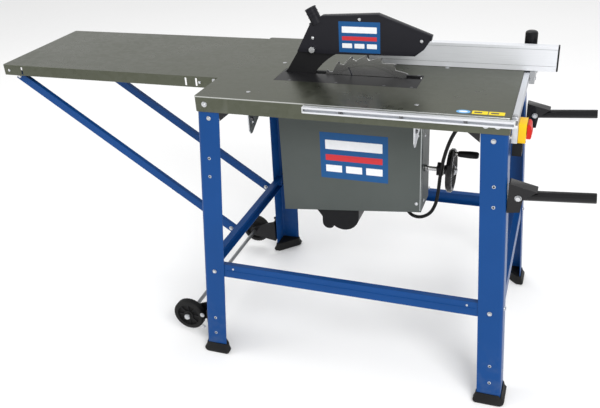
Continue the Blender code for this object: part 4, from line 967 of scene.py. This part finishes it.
# The riving knife and the blade guard: a black coated steel plate that follows the blade, and a narrow
# pressed hood clamped to it. The hood's two halves are screwed together under a raised top lip.
hood_black = coated("hood_black_coat", (0.006, 0.006, 0.009), (0.015, 0.015, 0.020), 0.28, 200.0, 0.00006,
                    Coat_Weight=0.08)
finish_node("riving_knife", satin_black)
finish_node("guard_hood", hood_black)
finish_node("guard_clamp_bolt", zinc)
hood_near_y, hood_far_y = -0.051, -0.035
hood_screws = []
for x, z in ((-0.143, 0.900), (-0.013, 0.953), (0.150, 0.902)):
    hood_screws.append(((middle_x + x, hood_near_y, z), NEAR))
    hood_screws.append(((middle_x + x, hood_far_y, z), FAR))
fasten("guard_hood_screws", hood_screws, zinc, "guard", 0.0034, 0.0022, 18, 1.25)
lip_line = [(-0.150, 0.936), (-0.114, 0.958), (0.036, 0.966), (0.176, 0.914), (0.172, 0.904)]
lip_width, lip_height = hood_far_y - hood_near_y + 0.003, 0.0026
lip_section = [(-1, -0.0030), (-1, lip_height * 0.6), (-0.8, lip_height), (0.8, lip_height),
               (1, lip_height * 0.6), (1, -0.0030)]
lip = bmesh.new()
rows = []
for i, (x, z) in enumerate(lip_line):
    before, after = lip_line[max(i - 1, 0)], lip_line[min(i + 1, len(lip_line) - 1)]
    way = Vector((after[0] - before[0], 0.0, after[1] - before[1])).normalized()
    out = Vector((-way.z, 0.0, way.x))
    base = Vector((middle_x + x, (hood_near_y + hood_far_y) / 2, z))
    row = [base + Vector((0.0, side * lip_width / 2, 0.0)) + out * rise for side, rise in lip_section]
    rows.append([lip.verts.new(point) for point in row])
for low, high in zip(rows, rows[1:]):
    for i in range(len(lip_section)):
        j = (i + 1) % len(lip_section)
        lip.faces.new((low[i], low[j], high[j], high[i]))
lip.faces.new(rows[0][::-1])
lip.faces.new(rows[-1])
piece("guard_hood_lip", from_shape("lip", lip), hood_black, "guard")
port_at, port_way = Vector((middle_x - 0.1330, -0.043, 0.9440)), Vector((-0.43, 0.0, 0.90)).normalized()
collar = [(0.0151, 0.0), (0.0162, 0.0006), (0.0162, 0.0020), (0.0151, 0.0026)]
for number, along in enumerate((0.014, 0.024, 0.0345)):
    ring = turned(collar, 36, closed=False)
    bmesh.ops.transform(ring, matrix=facing(port_at + port_way * along, port_way), verts=ring.verts)
    piece(f"dust_spigot_ring_{number + 1}", from_shape("ring", ring), hood_black, "guard")
panel("hood_panel", (middle_x - 0.014, hood_near_y, 0.906), NEAR, 0.112, 0.082, "guard")

# The hand drive and the locks: a dished black handwheel on a plain shaft with a turning grip, a star
# knob that locks the shaft and another that clamps the tilt.
finish_node("handwheel", gloss_black)
grip_black = moulded("grip_black", (0.005, 0.005, 0.006), (0.012, 0.012, 0.013), 0.24)
for node in ("crank_grip", "shaft_lock_knob", "tilt_lock_knob", "fence_clamp_knob"):
    finish_node(node, grip_black)
wheel_low, wheel_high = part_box("handwheel")
wheel_at = (wheel_low + wheel_high) / 2
hub_face = (wheel_high.x + 0.0010, wheel_at.y, wheel_at.z)
fasten("handwheel_nut", [(hub_face, OPERATOR)], zinc, "handwheel", 0.0075, 0.0060)
grip_low, grip_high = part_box("crank_grip")
grip_at = (grip_low + grip_high) / 2
ring_of_blocks("crank_grip_ribs", 12, 0.0092, (0.036, 0.0016, 0.0016),
               facing((grip_at.x + 0.002, grip_at.y, grip_at.z), OPERATOR), grip_black, "crank_grip")
low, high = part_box("tilt_lock_knob")
knob_face = (high.x, (low.y + high.y) / 2, (low.z + high.z) / 2)
fasten("tilt_lock_cap", [(knob_face, OPERATOR)], zinc, "tilt_lock", 0.0045, 0.0012, 20, 1.2)

# The rip fence: a tall hollow aluminium extrusion, brushed bright, clamped to a grey carrier that
# slides on the end rail. A black moulded cap closes its outer end and a tall knob clamps it.
fence_metal = extruded("fence_aluminium", "X", 0.35, 0.42)
groove_grey = plated("groove_shade", (0.26, 0.27, 0.28), (0.38, 0.39, 0.40), 0.40)
finish_node("fence_profile", fence_metal)
carrier_grey = coated("carrier_silver", (0.34, 0.35, 0.36), (0.46, 0.47, 0.48), 0.36, Metallic=0.6)
finish_node("fence_carrier", carrier_grey)
fence_low, fence_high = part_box("fence_profile")
fence_mid = (fence_low + fence_high) / 2
fence_cap = rounded(fence_high.y - fence_low.y + 0.0010, fence_high.z - fence_low.z + 0.0006, 0.0030)
for name, x, side in (("outer", fence_high.x, 1), ("inner", fence_low.x, -1)):
    place = facing((x - side * 0.0002, fence_mid.y, fence_mid.z + 0.0003), (side, 0, 0), (0, 1, 0))
    piece(f"fence_end_cap_{name}", from_shape("cap", raised(fence_cap, place, 0.0040, 0.0012)), black_plastic,
          "fence")
for name, z, tall in (("upper", fence_high.z - 0.0080, 0.0008), ("lower", fence_low.z + 0.0140, 0.0007)):
    groove = rounded(fence_high.x - fence_low.x - 0.002, tall, 0.0004, 2)
    place = facing((fence_mid.x, fence_low.y - 0.00002, z), NEAR)
    piece(f"fence_groove_{name}", from_shape("groove", raised(groove, place, 0.0001)), groove_grey,
          "fence")
low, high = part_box("fence_carrier")
screw_in = 0.012
carrier_screws = [((high.x, y, low.z + screw_in), OPERATOR) for y in (low.y + screw_in, high.y - screw_in)]
fasten("fence_carrier_screws", carrier_screws, zinc, "fence_carriage", 0.0042, 0.0030)
low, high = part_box("fence_clamp_knob")
knob_at = (low + high) / 2
ring_of_blocks("fence_knob_ribs", 20, 0.0152, (0.030, 0.0022, 0.0020),
               facing((knob_at.x, knob_at.y, high.z - 0.020), UP), grip_black, "fence_clamp")

# The switch: a yellow box on a zinc bracket with a red stop flap over its green start button, and a
# black inlet for the mains lead below it with three brass pins.
yellow_plastic = moulded("yellow_plastic", (0.78, 0.44, 0.01), (0.90, 0.55, 0.02), 0.28)
red_plastic = moulded("red_plastic", (0.46, 0.012, 0.008), (0.58, 0.025, 0.015), 0.26)
green_plastic = moulded("green_plastic", (0.01, 0.22, 0.05), (0.02, 0.32, 0.08), 0.28)
finish_node("switch_housing", yellow_plastic)
finish_node("stop_flap", red_plastic)
finish_node("start_button", green_plastic)
finish_node("switch_bracket", zinc)
finish_node("mains_inlet", black_plastic)
low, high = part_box("switch_housing")
screw_in = 0.0045
switch_screws = [((high.x, y, low.z + screw_in), OPERATOR) for y in (low.y + screw_in, high.y - screw_in)]
fasten("switch_screws", switch_screws, dark_steel, "frame", 0.0022, 0.0008, 16, 1.15)
flap_low, flap_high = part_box("stop_flap")
flap_face = Vector((flap_high.x - 0.0024, (flap_low.y + flap_high.y) / 2, flap_low.z))
rib = rounded(0.026, 0.0016, 0.0007, 2)
for number, z in enumerate((0.010, 0.014, 0.018)):
    place = facing(flap_face + Vector((0.0, 0.0, z)), OPERATOR, FAR)
    piece(f"stop_flap_rib_{number + 1}", from_shape("rib", raised(rib, place, 0.0032, 0.0004)), red_plastic,
          "stop_flap")
inlet_low, inlet_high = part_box("mains_inlet")
brass = plated("brass", (0.50, 0.36, 0.12), (0.72, 0.54, 0.22), 0.26)
inlet_mid = (inlet_low + inlet_high) / 2
pin_base = Vector((inlet_low.x + 0.0090, inlet_mid.y, inlet_mid.z - 0.001))
pin_offsets = [(-0.005, 0.003), (0.005, 0.003), (0.0, -0.005)]
pins = [(tuple(pin_base + Vector((0.0, y, z))), OPERATOR) for y, z in pin_offsets]
fasten("mains_inlet_pins", pins, brass, "frame", 0.0016, 0.0105, 16, 1.0)

# The carrying handles: gloss black steel tube that folds down in a forked bracket, with a plug in its
# end and a zinc bolt through the fork.
handle_black = coated("handle_black_coat", (0.003, 0.003, 0.0035), (0.006, 0.006, 0.007), 0.14,
                      Coat_Weight=0.3)
for node in ("handle_tube_near", "handle_tube_far"):
    finish_node(node, handle_black)
handle_pivot = Vector((middle_x + 0.431, 0.2665, 0.605))
handle_rise, handle_reach = math.radians(4.0), 0.170
for side, name in ((-1, "near"), (1, "far")):
    pivot = Vector((handle_pivot.x, side * handle_pivot.y, handle_pivot.z))
    way = Vector((math.cos(handle_rise), 0.0, math.sin(handle_rise)))
    plug = rounded(0.0240, 0.0240, 0.01195, 8)
    place = facing(pivot + way * (handle_reach - 0.0020), way, (0, 1, 0))
    piece(f"handle_plug_{name}", from_shape("plug", raised(plug, place, 0.0040, 0.0016)), rubber,
          f"handle_{name}")
    low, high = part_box(f"handle_tube_{name}")
    heads = [((pivot.x, low.y + 0.0052, pivot.z), NEAR), ((pivot.x, high.y - 0.0052, pivot.z), FAR)]
    fasten(f"handle_bolt_heads_{name}", heads, zinc, f"handle_{name}", 0.0072, 0.0056, 6, 1.15)
